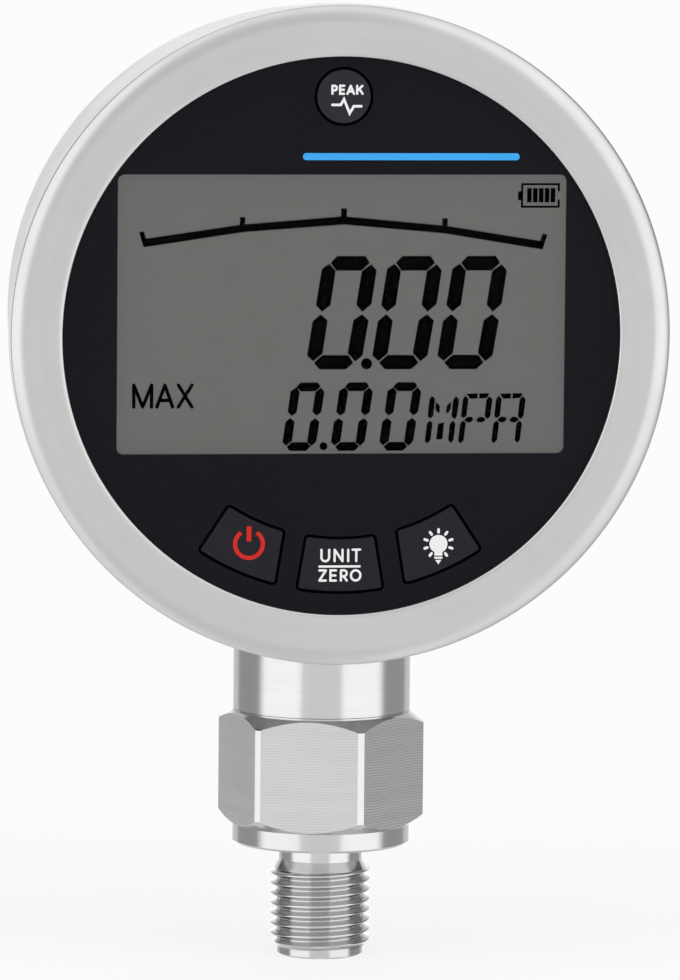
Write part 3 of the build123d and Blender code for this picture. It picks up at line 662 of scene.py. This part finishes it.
green_board = laminate("green board", (0.008, 0.10, 0.035), (0.02, 0.17, 0.06))
finish("main_board", green_board)
finish("sensor_board", green_board)
chip_black = moulded("chip black", (0.02, 0.02, 0.021), 0.5, grain=0.15, depth=0.005)
finish("controller_chip", chip_black)
finish("converter_chip", chip_black)
can_metal = steel("can metal", (0.66, 0.65, 0.62), 0.29, "Y", pitch=0.2, depth=0.001)
finish("crystal_can", can_metal)
connector_white = moulded("connector white", (0.72, 0.70, 0.64), 0.45)
finish("sensor_connector", connector_white)
finish("battery_connector", connector_white)
finish("lcd_frame", moulded("frame white", (0.75, 0.75, 0.73), 0.4, grain=0.4))
diffuser = moulded("diffuser white", (0.8, 0.81, 0.8), 0.3, grain=0.15, depth=0.004)
finish("backlight_panel", diffuser)
lamp_lens = moulded("lamp lens", (0.78, 0.74, 0.5), 0.25, grain=0.2, depth=0.003)
finish("backlight_leds", lamp_lens)
PLATING = {"axis": "Y", "pitch": 0.25, "depth": 0.003, "contrast": 0.12, "spread": 0.1}
zinc = steel("zinc plate", (0.58, 0.59, 0.6), 0.3, **PLATING)
finish("board_screws", zinc)
for key in ("peak", "power", "unit", "light"):
    finish(f"switch_{key}", moulded(f"switch black {key}", (0.025, 0.025, 0.027), 0.45))
    finish(f"plunger_{key}", moulded(f"plunger grey {key}", (0.25, 0.25, 0.26), 0.4))
lead_skin = moulded("lead grey", (0.2, 0.2, 0.21), 0.5, grain=0.2, depth=0.004)
finish("sensor_lead", lead_skin)
finish("battery_lead", lead_skin)

# Battery compartment: a moulded black tray with nickel contacts and three cells, each in a blue
# wrap with a plain grey band at one end.


def wrapped(name, colour, label):
    """A cell in its printed wrap, plain apart from a band at one end."""
    material, tree, shader, place = new_material(name)
    along = wired(tree, "ShaderNodeSeparateXYZ", i0=place).outputs["X"]
    band = ranged(tree, along, 12.0 * MM, 12.3 * MM, soft=True)
    gloss = ranged(tree, handled(tree, place, 8)["Patches"], low=0.25, high=0.4)
    plugged(tree, shader, Base_Color=mixed(tree, band, colour, label), Roughness=gloss)
    return material


tray_black = moulded("tray black", (0.02, 0.02, 0.021), 0.5, grain=0.35, depth=0.01)
finish("battery_tray", tray_black)
nickel = steel("nickel", (0.62, 0.6, 0.55), 0.22, "Z", pitch=0.3, depth=0.002)
finish("battery_contacts", nickel)
cell_wrap = wrapped("cell wrap", (0.02, 0.05, 0.12), (0.5, 0.5, 0.5))
for row in ("upper", "middle", "lower"):
    finish(f"cell_{row}", cell_wrap)

# Battery cover: a moulded black plate with a round edge, held by four cross-slotted screws sunk
# into its corners. Each is the frame's own solid with its seams closed and its rounds smoothed.


def smoothed(name, node, body, material, angle=30):
    """A closed and smooth copy of a solid of the frame, standing in its place."""
    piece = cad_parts[node].copy()
    piece.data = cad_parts[node].data.copy()
    for key in list(piece.keys()):
        del piece[key]
    piece.parent = None
    piece.name = piece.data.name = name
    bpy.context.scene.collection.objects.link(piece)
    opened(piece)
    bpy.ops.mesh.remove_doubles(threshold=SEAM)
    end_editing()
    smooth(piece, angle)
    even = piece.modifiers.new("even", "WEIGHTED_NORMAL")
    even.keep_sharp = True
    bpy.ops.object.modifier_apply(modifier=even.name)
    skinned(piece, material)
    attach(piece, body)
    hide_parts(node)
    return piece


cover_black = moulded("cover black", (0.018, 0.018, 0.019), 0.48, grain=0.45, depth=0.016)
smoothed("battery_cover_plate", "battery_cover", "gauge", cover_black)
smoothed("battery_cover_screw_set", "battery_cover_screws", "gauge", zinc)

# Front panel: a black moulded disc with a smooth matt face, clamped between the case and the
# bezel. The blue line printed on it is a thin film of ink.
PANEL_FACE = -21.2
SATIN = {"grain": 0.5, "depth": 0.003, "specular": 0.06, "change": 0.08}
panel_black = moulded("panel black", (0.0072, 0.0067, 0.0098), 0.42, **SATIN)
finish("front_panel", panel_black)


def joined(name, shapes):
    """Make one piece of several shapes."""
    only(shapes[0])
    for shape in shapes:
        shape.select_set(True)
    if len(shapes) > 1:
        bpy.ops.object.join()
    shapes[0].name = shapes[0].data.name = name
    return shapes[0]


def flat_solid(name, outlines, face, thickness):
    """Flat shapes lying in the plane of the dial, each drawn as an outline of (x, z)."""
    shapes = []
    for outline in outlines:
        clear_selection()
        bpy.ops.mesh.primitive_circle_add(vertices=len(outline), radius=MM, fill_type="NGON")
        shape = bpy.context.object
        for corner, (x, z) in zip(shape.data.vertices, outline):
            corner.co = (x * MM, face * MM, (DIAL + z) * MM)
        shapes.append(shape)
    piece = joined(name, shapes)
    opened(piece)
    bpy.ops.mesh.extrude_region_move(TRANSFORM_OT_translate={"value": (0, -thickness * MM, 0)})
    end_editing()
    return closed(piece)


def printed(piece, body, material):
    """Give a printed mark its ink and the part it moves with."""
    skinned(piece, material)
    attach(piece, body)
    return piece


def plates(name, outlines, face, thickness, body, slot, material):
    """Printed marks that don't touch each other."""
    return printed(flat_solid(name, outlines, face, thickness), body, material)


def ink(name, colour, rough=0.45, specular=0.2):
    """Printing ink: an even colour with the faint mottle of a pad print."""
    material, tree, shader, place = new_material(name)
    tone = mixed(tree, grained(tree, place, 0.12), scaled(colour, 0.93), colour)
    plugged(tree, shader, Roughness=rough, Specular_IOR_Level=specular, Base_Color=tone)
    return material


def rounded_bar(left, right, bottom, top, corner):
    """Outline of a bar with round corners."""
    near, far, low, high = left + corner, right - corner, bottom + corner, top - corner
    points = []
    for turn, centre in enumerate([(far, high), (far, low), (near, low), (near, high)]):
        points += arc(centre, corner, 90 - 90 * turn, -90 * turn, 4)
    return points


INK_FILM = 0.03
blue_ink = ink("blue ink", (0.045, 0.39, 0.87))
accent = [rounded_bar(-5.2, 22.7, 22.65, 23.55, 0.4)]
plates("panel_accent_line", accent, PANEL_FACE, INK_FILM, "gauge", None, blue_ink)

# Display: a clear pane in the rebate of the panel, and behind it the grey display glass. Its
# figures, scale and signs are the dark segments of the glass, lying just under the pane.
GLASS_FACE = -19.0


def clear_pane():
    """Clear moulded pane, polished."""
    material, tree, shader, place = new_material("clear pane")
    gloss = ranged(tree, handled(tree, place, 20)["Patches"], low=0.0, high=0.02)
    plugged(tree, shader, Base_Color=(1, 1, 1, 1), Transmission_Weight=1.0, IOR=1.06)
    plugged(tree, shader, Roughness=gloss)
    return material


def display_glass():
    """Grey display glass with the very fine weave of its reflector, and a faint painted glow that
    lifts the shade round the edges of its recess.
    """
    material, tree, shader, place = new_material("display glass")
    weave = grained(tree, place, 0.09)
    tone = mixed(tree, weave, (0.029, 0.030, 0.028), (0.033, 0.034, 0.032))
    # Painted light: an even glow of the glass, which lifts the shade that the panel casts round the
    # edges of the window
    painted_glow = {"Emission_Color": (0.95, 1.0, 0.93, 1), "Emission_Strength": 0.117}
    plugged(tree, shader, Base_Color=tone, Roughness=0.5, Specular_IOR_Level=0.1, **painted_glow)
    return material


finish("display_window", clear_pane())
finish("lcd_glass", display_glass())

# Segments of one large and one small figure as (x, z) from the dial's centre, and how far apart
# the figures stand
LARGE_PITCH = 8.43
LARGE_SEGMENTS = [
    [(-1.58, 9.5), (-0.81, 10.32), (2.8, 10.32), (3.33, 9.53), (2.33, 8.56), (-0.9, 8.56)],
    [(-1.85, 9.3), (-2.74, 8.68), (-3.46, 4.06), (-2.73, 3.28), (-1.68, 4.1), (-1.07, 8.48)],
    [(3.6, 9.24), (4.22, 8.5), (3.6, 4.22), (2.5, 3.26), (1.76, 4.12), (2.41, 8.38)],
    [(-2.87, 2.8), (-2.05, 2.04), (-2.66, -2.14), (-3.8, -3.1), (-4.55, -2.45), (-3.88, 1.94)],
    [(2.44, 2.8), (3.24, 2.04), (2.5, -2.42), (1.62, -3.14), (0.68, -2.12), (1.4, 2.07)],
    [(-3.65, -3.38), (-2.6, -2.44), (0.68, -2.46), (1.3, -3.38), (0.42, -4.18), (-2.96, -4.18)],
]
SMALL_PITCH = 6.27
SMALL_SEGMENTS = [
    [(6.66, -6.5), (7.16, -5.98), (9.33, -5.98), (9.62, -6.44), (9.02, -7.0), (7.18, -7.0)],
    [(6.6, -6.66), (6.95, -7.14), (6.57, -9.76), (6.0, -10.15), (5.56, -9.66), (5.9, -7.05)],
    [(9.72, -6.66), (10.14, -7.16), (9.76, -9.74), (9.19, -10.13), (8.75, -9.66), (9.1, -7.23)],
    [(5.82, -10.6), (6.32, -11.04), (6.0, -13.48), (5.3, -13.99), (4.9, -13.6), (5.26, -11.05)],
    [(9.07, -10.62), (9.52, -11.06), (9.16, -13.5), (8.6, -14.06), (8.1, -13.62), (8.44, -11.07)],
    [(5.48, -14.22), (6.1, -13.7), (7.97, -13.71), (8.38, -14.2), (7.84, -14.7), (5.8, -14.7)],
]
# Segments of one letter cell of the unit, named by their place in the cell
LETTER_PITCH = 4.32
LETTER_SEGMENTS = {
    "upper left": [
        (15.66, -7.96), (15.94, -7.55), (16.27, -7.91),
        (16.06, -9.99), (15.73, -10.3), (15.45, -10.09),
    ],
    "lower left": [
        (15.36, -11.09), (15.69, -10.75), (15.96, -11.03),
        (15.72, -13.16), (15.35, -13.54), (15.11, -13.31),
    ],
    "top left": [(16.17, -7.27), (17.45, -7.22), (17.47, -7.76), (16.6, -7.8)],
    "top right": [(17.82, -7.22), (18.96, -7.22), (18.7, -7.7), (17.78, -7.76)],
    "upper right": [
        (18.73, -8.02), (19.06, -7.61), (19.39, -7.96),
        (19.13, -10.05), (18.85, -10.41), (18.52, -10.1),
    ],
    "middle left": [
        (15.88, -10.6), (16.25, -10.26), (16.77, -10.26),
        (16.94, -10.5), (16.64, -10.85), (16.16, -10.85),
    ],
    "middle right": [
        (17.44, -10.58), (17.77, -10.27), (18.29, -10.28),
        (18.51, -10.58), (18.15, -10.86), (17.63, -10.84),
    ],
    "lower right": [
        (18.33, -11.14), (18.67, -10.78), (18.94, -11.09),
        (18.7, -13.12), (18.45, -13.5), (18.14, -13.22),
    ],
    "left slant": [(16.53, -8.38), (16.89, -8.8), (16.86, -9.61), (16.64, -9.51), (16.4, -9.0)],
    "right slant": [(18.33, -8.36), (18.34, -9.02), (18.01, -9.64), (17.82, -9.55), (17.91, -8.79)],
    "lower middle": [(16.8, -11.17), (17.44, -10.97), (17.28, -13.01), (16.59, -13.06)],
}
LEFT_SIDE = ("upper left", "lower left")
RIGHT_SIDE = ("upper right", "lower right")
LETTER_P = (*LEFT_SIDE, "top left", "top right", "upper right", "middle left", "middle right")
LETTERS = (
    (-1, (*LEFT_SIDE, *RIGHT_SIDE, "left slant", "right slant", "lower middle")),
    (0, LETTER_P),
    (1, (*LETTER_P, "lower right")),
)
# The scale: a shallow arc of straight runs with short ticks, the same on both sides
half_scale = [
    (0.31, 15.4), (12.78, 14.39), (12.78, 15.32), (13.34, 15.32), (13.34, 14.34), (25.45, 12.55),
    (25.8, 13.5), (26.25, 13.38), (25.7, 11.59), (13.06, 13.52), (0.0, 14.51),
]
SCALE_LEAN = 0.012
right_half = [(x, z - SCALE_LEAN * x) for x, z in half_scale]
left_half = [(-x, z) for x, z in half_scale[-2::-1]]
scale_line = [(0.31, 16.45), *right_half, *left_half, (-0.31, 16.45)]
battery_frame = [
    (27.89, 18.95), (27.89, 19.97), (22.89, 19.97), (22.89, 18.92), (22.5, 18.92), (22.5, 17.8),
    (22.89, 17.8), (22.89, 16.82), (27.89, 16.82), (27.89, 17.83), (27.65, 17.83), (27.65, 17.06),
    (23.13, 17.06), (23.13, 19.73), (27.65, 19.73), (27.65, 18.95),
]


def moved(outline, across, up=0.0):
    """The same outline somewhere else."""
    return [(x + across, z + up) for x, z in outline]


def widened(outline, by):
    """The same outline with every edge moved outwards."""
    ends = list(zip(outline, outline[1:] + outline[:1]))
    area = sum(x * next_z - next_x * z for (x, z), (next_x, next_z) in ends)
    side = by if area > 0 else -by
    wide = []
    for at, point in enumerate(outline):
        here = Vector(point)
        before = (here - Vector(outline[at - 1])).normalized()
        after = (Vector(ends[at][1]) - here).normalized()
        middle = (before + after).normalized()
        reach = side / max(middle.dot(after), 0.5)
        wide.append((here.x + middle.y * reach, here.y - middle.x * reach))
    return wide


# Each kind of mark is drawn a little wider than its outline, as it looks through the glass
SCALE_SPREAD = 0.07
BATTERY_SPREAD = 0.015
BAR_SPREAD = 0.02
LARGE_SPREAD = 0.055
SMALL_SPREAD = 0.065
SIGN_DROP = -0.22
CHARGE_BARS = 5
BAR_PITCH = 0.763
BAR_WIDTH = 0.57
marks = [
    widened(scale_line, SCALE_SPREAD),
    moved(widened(battery_frame, BATTERY_SPREAD), 0, SIGN_DROP),
]
for step in range(CHARGE_BARS):
    left = 23.67 + BAR_PITCH * step
    right = left + BAR_WIDTH
    bar = [(left, 17.54), (left, 19.33), (right, 19.33), (right, 17.54)]
    marks.append(moved(widened(bar, BAR_SPREAD), 0, SIGN_DROP))
for figure in range(3):
    for segment in LARGE_SEGMENTS:
        marks.append(moved(widened(segment, LARGE_SPREAD), LARGE_PITCH * figure))
    for segment in SMALL_SEGMENTS:
        marks.append(moved(widened(segment, SMALL_SPREAD), SMALL_PITCH * (figure - 2)))
for place, parts in LETTERS:
    for part in parts:
        wide = widened(LETTER_SEGMENTS[part], SMALL_SPREAD)
        marks.append(moved(wide, LETTER_PITCH * place, SIGN_DROP))
LARGE_POINT = 0.72
SMALL_POINT = 0.51
marks.append(arc((3.08, -3.52), LARGE_POINT, 0, 345, 23))
marks.append(arc((-2.40, -14.17), SMALL_POINT, 0, 342, 19))
MARK_PLACE = (0.35, -0.21)
MARK_FILM = 0.05
marks = [moved(outline, *MARK_PLACE) for outline in marks]
segment_black = ink("segment black", (0.0015, 0.0016, 0.0015), 0.5, 0.0)
DISPLAY_INK = (GLASS_FACE, MARK_FILM, "gauge", "display_grey", segment_black)
plates("display_segments", marks, *DISPLAY_INK)


def stroke(points, width):
    """Outline of a line of even width with round ends and mitred corners."""
    half = width / 2
    sides = {1: [], -1: []}
    for at, point in enumerate(points):
        here = Vector(point)
        before = (here - Vector(points[at - 1])).normalized() if at else None
        after = (Vector(points[at + 1]) - here).normalized() if at < len(points) - 1 else None
        along, reach = before or after, half
        if before and after:
            along = (before + after).normalized()
            reach = min(half / max(along.dot(after), 0.35), 2.2 * half)
        across = Vector((-along.y, along.x)) * reach
        for side in sides:
            sides[side].append(tuple(here + across * side))
    first, last = Vector(points[0]), Vector(points[-1])
    head = last - Vector(points[-2])
    tail = Vector(points[1]) - first
    head_angle = degrees(atan2(head.y, head.x))
    tail_angle = degrees(atan2(tail.y, tail.x))
    far_end = arc(last, half, head_angle + 90, head_angle - 90, 6)[1:-1]
    near_end = arc(first, half, tail_angle - 90, tail_angle - 270, 6)[1:-1]
    return [*sides[1], *far_end, *reversed(sides[-1]), *near_end]


def bow(centre, across, up, start, end, steps=8):
    """Part of an oval, angles in degrees."""
    round_points = arc((0, 0), 1, start, end, steps)
    return [(centre[0] + across * x, centre[1] + up * z) for x, z in round_points]


# Plain capitals as strokes of a pen, each in a box one wide and one high
BOWL = [(0, 1), *bow((0.5, 0.71), 0.5, 0.29, 90, -90), (0, 0.42)]
PEN_STROKES = {
    "A": [[(0, 0), (0.5, 1)], [(0.5, 1), (1, 0)], [(0.2, 0.3), (0.8, 0.3)]],
    "E": [[(1, 1), (0, 1), (0, 0), (1, 0)], [(0, 0.5), (0.9, 0.5)]],
    "I": [[(0, 0), (0, 1)]],
    "K": [[(0, 0), (0, 1)], [(0.95, 1), (0.1, 0.42)], [(0.4, 0.62), (1, 0)]],
    "M": [[(0, 0), (0, 1)], [(0, 1), (0.5, 0)], [(0.5, 0), (1, 1)], [(1, 1), (1, 0)]],
    "N": [[(0, 0), (0, 1)], [(0, 1), (1, 0)], [(1, 0), (1, 1)]],
    "O": [bow((0.5, 0.5), 0.5, 0.5, 78, 282, 14), bow((0.5, 0.5), 0.5, 0.5, 101, -103, 14)],
    "P": [[(0, 0), (0, 1)], BOWL],
    "R": [[(0, 0), (0, 1)], BOWL, [(0.45, 0.42), (1, 0)]],
    "T": [[(0.5, 0), (0.5, 1)], [(0, 1), (1, 1)]],
    "U": [[(0, 1), *bow((0.5, 0.34), 0.5, 0.34, 180, 360, 12), (1, 1)]],
    "X": [[(0, 0), (1, 1)], [(0, 1), (1, 0)]],
    "Z": [[(0, 1), (1, 1)], [(1, 1), (0, 0)], [(0, 0), (1, 0)]],
}

# The strokes of a letter lie over each other, each a little higher than the one before it
OVERPRINT = 0.003


def pen_word(name, letters, bottom, top, width, face, thickness, body, slot, material):
    """A word of plain capitals, each letter standing between its own left and right side."""
    pen_lines = []
    for letter, left, right in letters:
        for over, line in enumerate(PEN_STROKES[letter]):
            points = [(left + (right - left) * x, bottom + (top - bottom) * z) for x, z in line]
            film = thickness + over * OVERPRINT
            pen_lines.append(flat_solid("pen_line", [stroke(points, width)], face, film))
    return printed(joined(name, pen_lines), body, material)


DISPLAY_PEN = 0.45
max_letters = (("M", -26.56, -24.27), ("A", -23.57, -21.56), ("X", -20.82, -19.08))
pen_word("display_word", max_letters, -9.24, -6.44, DISPLAY_PEN, *DISPLAY_INK)

# Keys: four charcoal moulded caps, each free to move in its own hole of the panel, with its sign
# printed in white or red. The print rides on the key it belongs to.
KEY_FACE = -21.4
MATT = {"grain": 0.25, "depth": 0.006, "specular": 0.12, "change": 0.25}
key_charcoal = moulded("key charcoal", (0.0125, 0.0118, 0.0160), 0.5, **MATT)
round_charcoal = moulded("round key charcoal", (0.0200, 0.0190, 0.0245), 0.5, **MATT)
for key in ("peak", "power", "unit", "light"):
    skin = round_charcoal if key == "peak" else key_charcoal
    smoothed(f"key_cap_{key}", f"key_{key}", f"{key}_key", skin, 40)
white_ink = ink("white ink", (0.86, 0.86, 0.87))
red_ink = ink("red ink", (0.62, 0.018, 0.010))
KEY_PEN = 0.29
PULSE_PEN = 0.33
RAY_PEN = 0.35


def key_word(name, letters, bottom, top, body):
    """A word in white on the face of a key."""
    white = (KEY_FACE, INK_FILM, body, "white_plastic", white_ink)
    return pen_word(name, letters, bottom, top, KEY_PEN, *white)


def key_sign(name, outlines, body, slot="white_plastic", colour=white_ink):
    """A sign on the face of a key."""
    return plates(name, outlines, KEY_FACE, INK_FILM, body, slot, colour)


peak_letters = (
    ("P", -1.517, -0.956), ("E", -0.528, -0.005), ("A", 0.41, 1.254), ("K", 1.656, 2.359),
)
key_word("key_word_peak", peak_letters, 31.16, 32.18, "peak_key")
pulse = [
    (-1.51, 29.74), (-0.43, 29.74), (-0.02, 30.47), (0.72, 28.66), (1.25, 29.57), (2.21, 29.57),
]
key_sign("key_pulse_line", [stroke(pulse, PULSE_PEN)], "peak_key")
unit_letters = (
    ("U", -2.438, -1.443), ("N", -0.731, 0.284), ("I", 1.02, 1.02), ("T", 1.584, 2.555),
)
key_word("key_word_unit", unit_letters, -29.0, -27.52, "unit_key")
zero_letters = (
    ("Z", -2.687, -1.849), ("E", -1.252, -0.542), ("R", 0.107, 0.855), ("O", 1.401, 2.616),
)
key_word("key_word_zero", zero_letters, -31.51, -30.19, "unit_key")
key_sign("key_rule", [rounded_bar(-2.81, 2.64, -29.83, -29.54, 0.08)], "unit_key")

POWER = (-11.81, -26.73)
POWER_OUTER = 2.06
POWER_INNER = 1.53
POWER_BAR = 0.31
power_ring = arc(POWER, POWER_OUTER, 126, 414, 44) + arc(POWER, POWER_INNER, 418, 122, 44)
power_bar = moved(rounded_bar(-POWER_BAR, POWER_BAR, 0.34, 2.3, 0.12), *POWER)
key_sign("key_power_sign", [power_ring, power_bar], "power_key", None, red_ink)

BULB = (12.70, -26.82)
BULB_RADIUS = 1.17
SOCKET = 0.52
neck_angle = 90 - degrees(atan2(SOCKET, sqrt(BULB_RADIUS**2 - SOCKET**2)))
bulb = arc((0, 0), BULB_RADIUS, -neck_angle, neck_angle + 180, 36)
bulb += [(-SOCKET, -1.52), (SOCKET, -1.52)]
lamp_base = [(-SOCKET, -1.92), (-SOCKET, -1.66), (SOCKET, -1.66), (SOCKET, -1.92)]
lamp_tip = [(-0.4, -2.07), (0.4, -2.07), (0.0, -2.66)]
light_sign = [bulb, lamp_base, lamp_tip]
for angle in (0, 36, 72, 108, 144, -36, -72, -108, -144):
    turn = radians(angle)
    ray = [(reach * sin(turn), reach * cos(turn)) for reach in (1.52, 1.87)]
    light_sign.append(stroke(ray, RAY_PEN))
light_sign = [moved(outline, *BULB) for outline in light_sign]
key_sign("key_light_sign", light_sign, "light_key")

# Bezel: a ring drawn from thicker stainless sheet and rolled over the flange of the case, with a
# broad polished front and a soft outer round. It is turned from its section.
BEZEL_RADIUS = 42.499
BEZEL_OPENING = 35.9
BEZEL_FRONT = -22.0
FACE_ROUND = 3.5
FACE_TURN = 40
EDGE_ROUND = 0.3
SHEET = 0.8
FLANGE_PLAY = 0.3
edge_reach = (FACE_ROUND - EDGE_ROUND) * sin(radians(FACE_TURN))
edge_drop = (FACE_ROUND - EDGE_ROUND) * cos(radians(FACE_TURN))
face_centre = (BEZEL_RADIUS - EDGE_ROUND - edge_reach, BEZEL_FRONT + FACE_ROUND)
edge_centre = (BEZEL_RADIUS - EDGE_ROUND, face_centre[1] - edge_drop)
bezel_profile = [
    (BEZEL_OPENING, BEZEL_FRONT + SHEET),
    (BEZEL_OPENING, BEZEL_FRONT + 0.2),
    (BEZEL_OPENING + 0.03, BEZEL_FRONT + 0.13),
    (BEZEL_OPENING + 0.13, BEZEL_FRONT + 0.03),
    (BEZEL_OPENING + 0.2, BEZEL_FRONT),
    (BEZEL_OPENING + 0.8, BEZEL_FRONT),
    (face_centre[0] - 0.5, BEZEL_FRONT),
    *arc(face_centre, FACE_ROUND, -90, FACE_TURN - 90, 14),
    *arc(edge_centre, EDGE_ROUND, FACE_TURN - 90, 0, 6)[1:],
    (BEZEL_RADIUS, edge_centre[1] + 0.4),
    (BEZEL_RADIUS, CASE_FRONT + 1.5),
    (BEZEL_RADIUS - 0.15, CASE_FRONT + 1.85),
    (BEZEL_RADIUS - 0.5, CASE_FRONT + 2.0),
    (CASE_RADIUS + FLANGE_PLAY, CASE_FRONT + 2.0),
    (CASE_RADIUS + FLANGE_PLAY, CASE_FRONT + 1.05),
    (FLANGE_RADIUS + FLANGE_PLAY, CASE_FRONT + 1.05),
    *arc(face_centre, FACE_ROUND - SHEET, -52, -90, 5),
]
bezel = turned("bezel_ring_rolled", bezel_profile + bezel_profile[:1], AROUND_DIAL, 240)
smooth(bezel, 35)
POLISH = {"axis": "dial radius", "pitch": 0.22, "depth": 0.0012, "contrast": 0.08, "spread": 0.06}
bezel_steel = steel("bezel steel", STEEL, 0.28, **POLISH)
skinned(bezel, bezel_steel)
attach(bezel, "gauge")
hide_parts("bezel_ring")

# Studio: a plain white floor under the stem, and round it two broad soft lights at the front with
# darker walls at the sides, as a small light tent has. The camera looks slightly down from the
# left.
AZIMUTH = radians(-6.164)
ELEVATION = radians(6.57)
ROLL = radians(0.488)
AIM = Vector((2.203, 0, 61.433)) * MM
DISTANCE = 1023.145 * MM
FOCAL_PIXELS = 7794.95
PICTURE_HEIGHT = 980
FLOOR_SIZE = 12.0
PAPER_WHITE = 1.025
STUDIO_LIGHT = 2.0


def shaded(tree, share, first, second):
    """Two shaders mixed, the second one by its share."""
    return wired(tree, "ShaderNodeMixShader", i0=share, i1=first, i2=second).outputs[0]


clear_selection()
bpy.ops.mesh.primitive_plane_add(size=FLOOR_SIZE)
floor = bpy.context.object
floor.name = "floor"
white_floor = bpy.data.materials.new("white floor")
white_floor.use_nodes = True
tree = white_floor.node_tree
tree.nodes.clear()
seen = tree.nodes.new("ShaderNodeLightPath")
lit = wired(tree, "ShaderNodeBsdfDiffuse", Color=(0.88, 0.88, 0.88, 1)).outputs[0]
bright = wired(tree, "ShaderNodeEmission", Color=(1, 1, 1, 1), Strength=PAPER_WHITE).outputs[0]
open_below = tree.nodes.new("ShaderNodeBsdfTransparent").outputs[0]
paper = shaded(tree, 0.75, lit, bright)
viewed = shaded(tree, seen.outputs["Is Camera Ray"], lit, paper)
surface = shaded(tree, seen.outputs["Is Glossy Ray"], viewed, open_below)
result = tree.nodes.new("ShaderNodeOutputMaterial")
tree.links.new(surface, result.inputs[0])
floor.data.materials.append(white_floor)

world = bpy.data.worlds.new("studio")
bpy.context.scene.world = world
world.use_nodes = True
tree = world.node_tree
tree.nodes.clear()
direction = tree.nodes.new("ShaderNodeTexCoord").outputs["Generated"]
towards = vector_step(tree, "DOT_PRODUCT", direction, (sin(AZIMUTH), -cos(AZIMUTH), 0))
sideways = vector_step(tree, "DOT_PRODUCT", direction, (cos(AZIMUTH), sin(AZIMUTH), 0))
bearing = computed(tree, "ARCTAN2", sideways, towards)
share = computed(tree, "DIVIDE", computed(tree, "ABSOLUTE", bearing), pi)
walls = wired(tree, "ShaderNodeValToRGB", i0=share)
steep_walls = wired(tree, "ShaderNodeValToRGB", i0=share)
# How bright the walls are from the front (0) round to behind (1), level and further up or down
EDGES = (0.0, 0.140, 0.155, 0.440, 0.500, 0.745, 0.765, 0.880, 0.920, 1.0)
LEVEL = (0.51, 0.51, 0.80, 0.80, 0.225, 0.225, 0.40, 0.40, 0.68, 0.68)
STEEP = (0.42, 0.42, 0.78, 0.78, 0.05, 0.05, 0.36, 0.36, 0.60, 0.60)
for wall, values in ((walls, LEVEL), (steep_walls, STEEP)):
    ramp = wall.color_ramp
    for place in EDGES[1:-1]:
        ramp.elements.new(place)
    for stop, place, value in zip(ramp.elements, EDGES, values):
        stop.position = place
        stop.color = (value, value, value, 1)
# Upright faces mirror the walls this far below the horizon, and leaning ones further up or down
MIRRORED = 0.114
height = wired(tree, "ShaderNodeSeparateXYZ", i0=direction).outputs["Z"]
slope = computed(tree, "ABSOLUTE", computed(tree, "ADD", height, MIRRORED))
steep = ranged(tree, slope, 0.14, 0.34, soft=True)
below = ranged(tree, height, -0.2, -0.4, high=0.6, soft=True)
ceiling = ranged(tree, height, 0.74, 0.82, soft=True)
overhead = ranged(tree, towards, 0.15, -0.05, 0.64, 0.36, soft=True)
upright = mixed(tree, steep, walls.outputs[0], steep_walls.outputs[0])
with_floor = mixed(tree, below, upright, (0.5, 0.5, 0.5))
with_ceiling = mixed(tree, ceiling, with_floor, overhead)
studio = wired(tree, "ShaderNodeBackground", Color=with_ceiling, Strength=STUDIO_LIGHT)
white = wired(tree, "ShaderNodeBackground", Color=(1, 1, 1, 1), Strength=1.0)
path = tree.nodes.new("ShaderNodeLightPath").outputs
plain = computed(tree, "MAXIMUM", path["Is Camera Ray"], path["Is Transmission Ray"])
sky = tree.nodes.new("ShaderNodeOutputWorld")
around = shaded(tree, plain, studio.outputs[0], white.outputs[0])
tree.links.new(around, sky.inputs[0])

lens = bpy.data.cameras.new("camera")
lens.sensor_width = 36.0
lens.lens = FOCAL_PIXELS / PICTURE_HEIGHT * lens.sensor_width
lens.clip_start = 0.05
lens.clip_end = 50.0
camera = bpy.data.objects.new("camera", lens)
bpy.context.scene.collection.objects.link(camera)
back = Vector((sin(AZIMUTH) * cos(ELEVATION), -cos(AZIMUTH) * cos(ELEVATION), sin(ELEVATION)))
right = (-back).cross(Vector((0, 0, 1))).normalized()
up = right.cross(-back)
level_right = right * cos(ROLL) + up * sin(ROLL)
level_up = up * cos(ROLL) - right * sin(ROLL)
turn = Matrix((level_right, level_up, back)).transposed()
camera.matrix_world = Matrix.Translation(AIM + back * DISTANCE) @ turn.to_4x4()
bpy.context.scene.camera = camera
bpy.context.scene.view_settings.view_transform = "Standard"
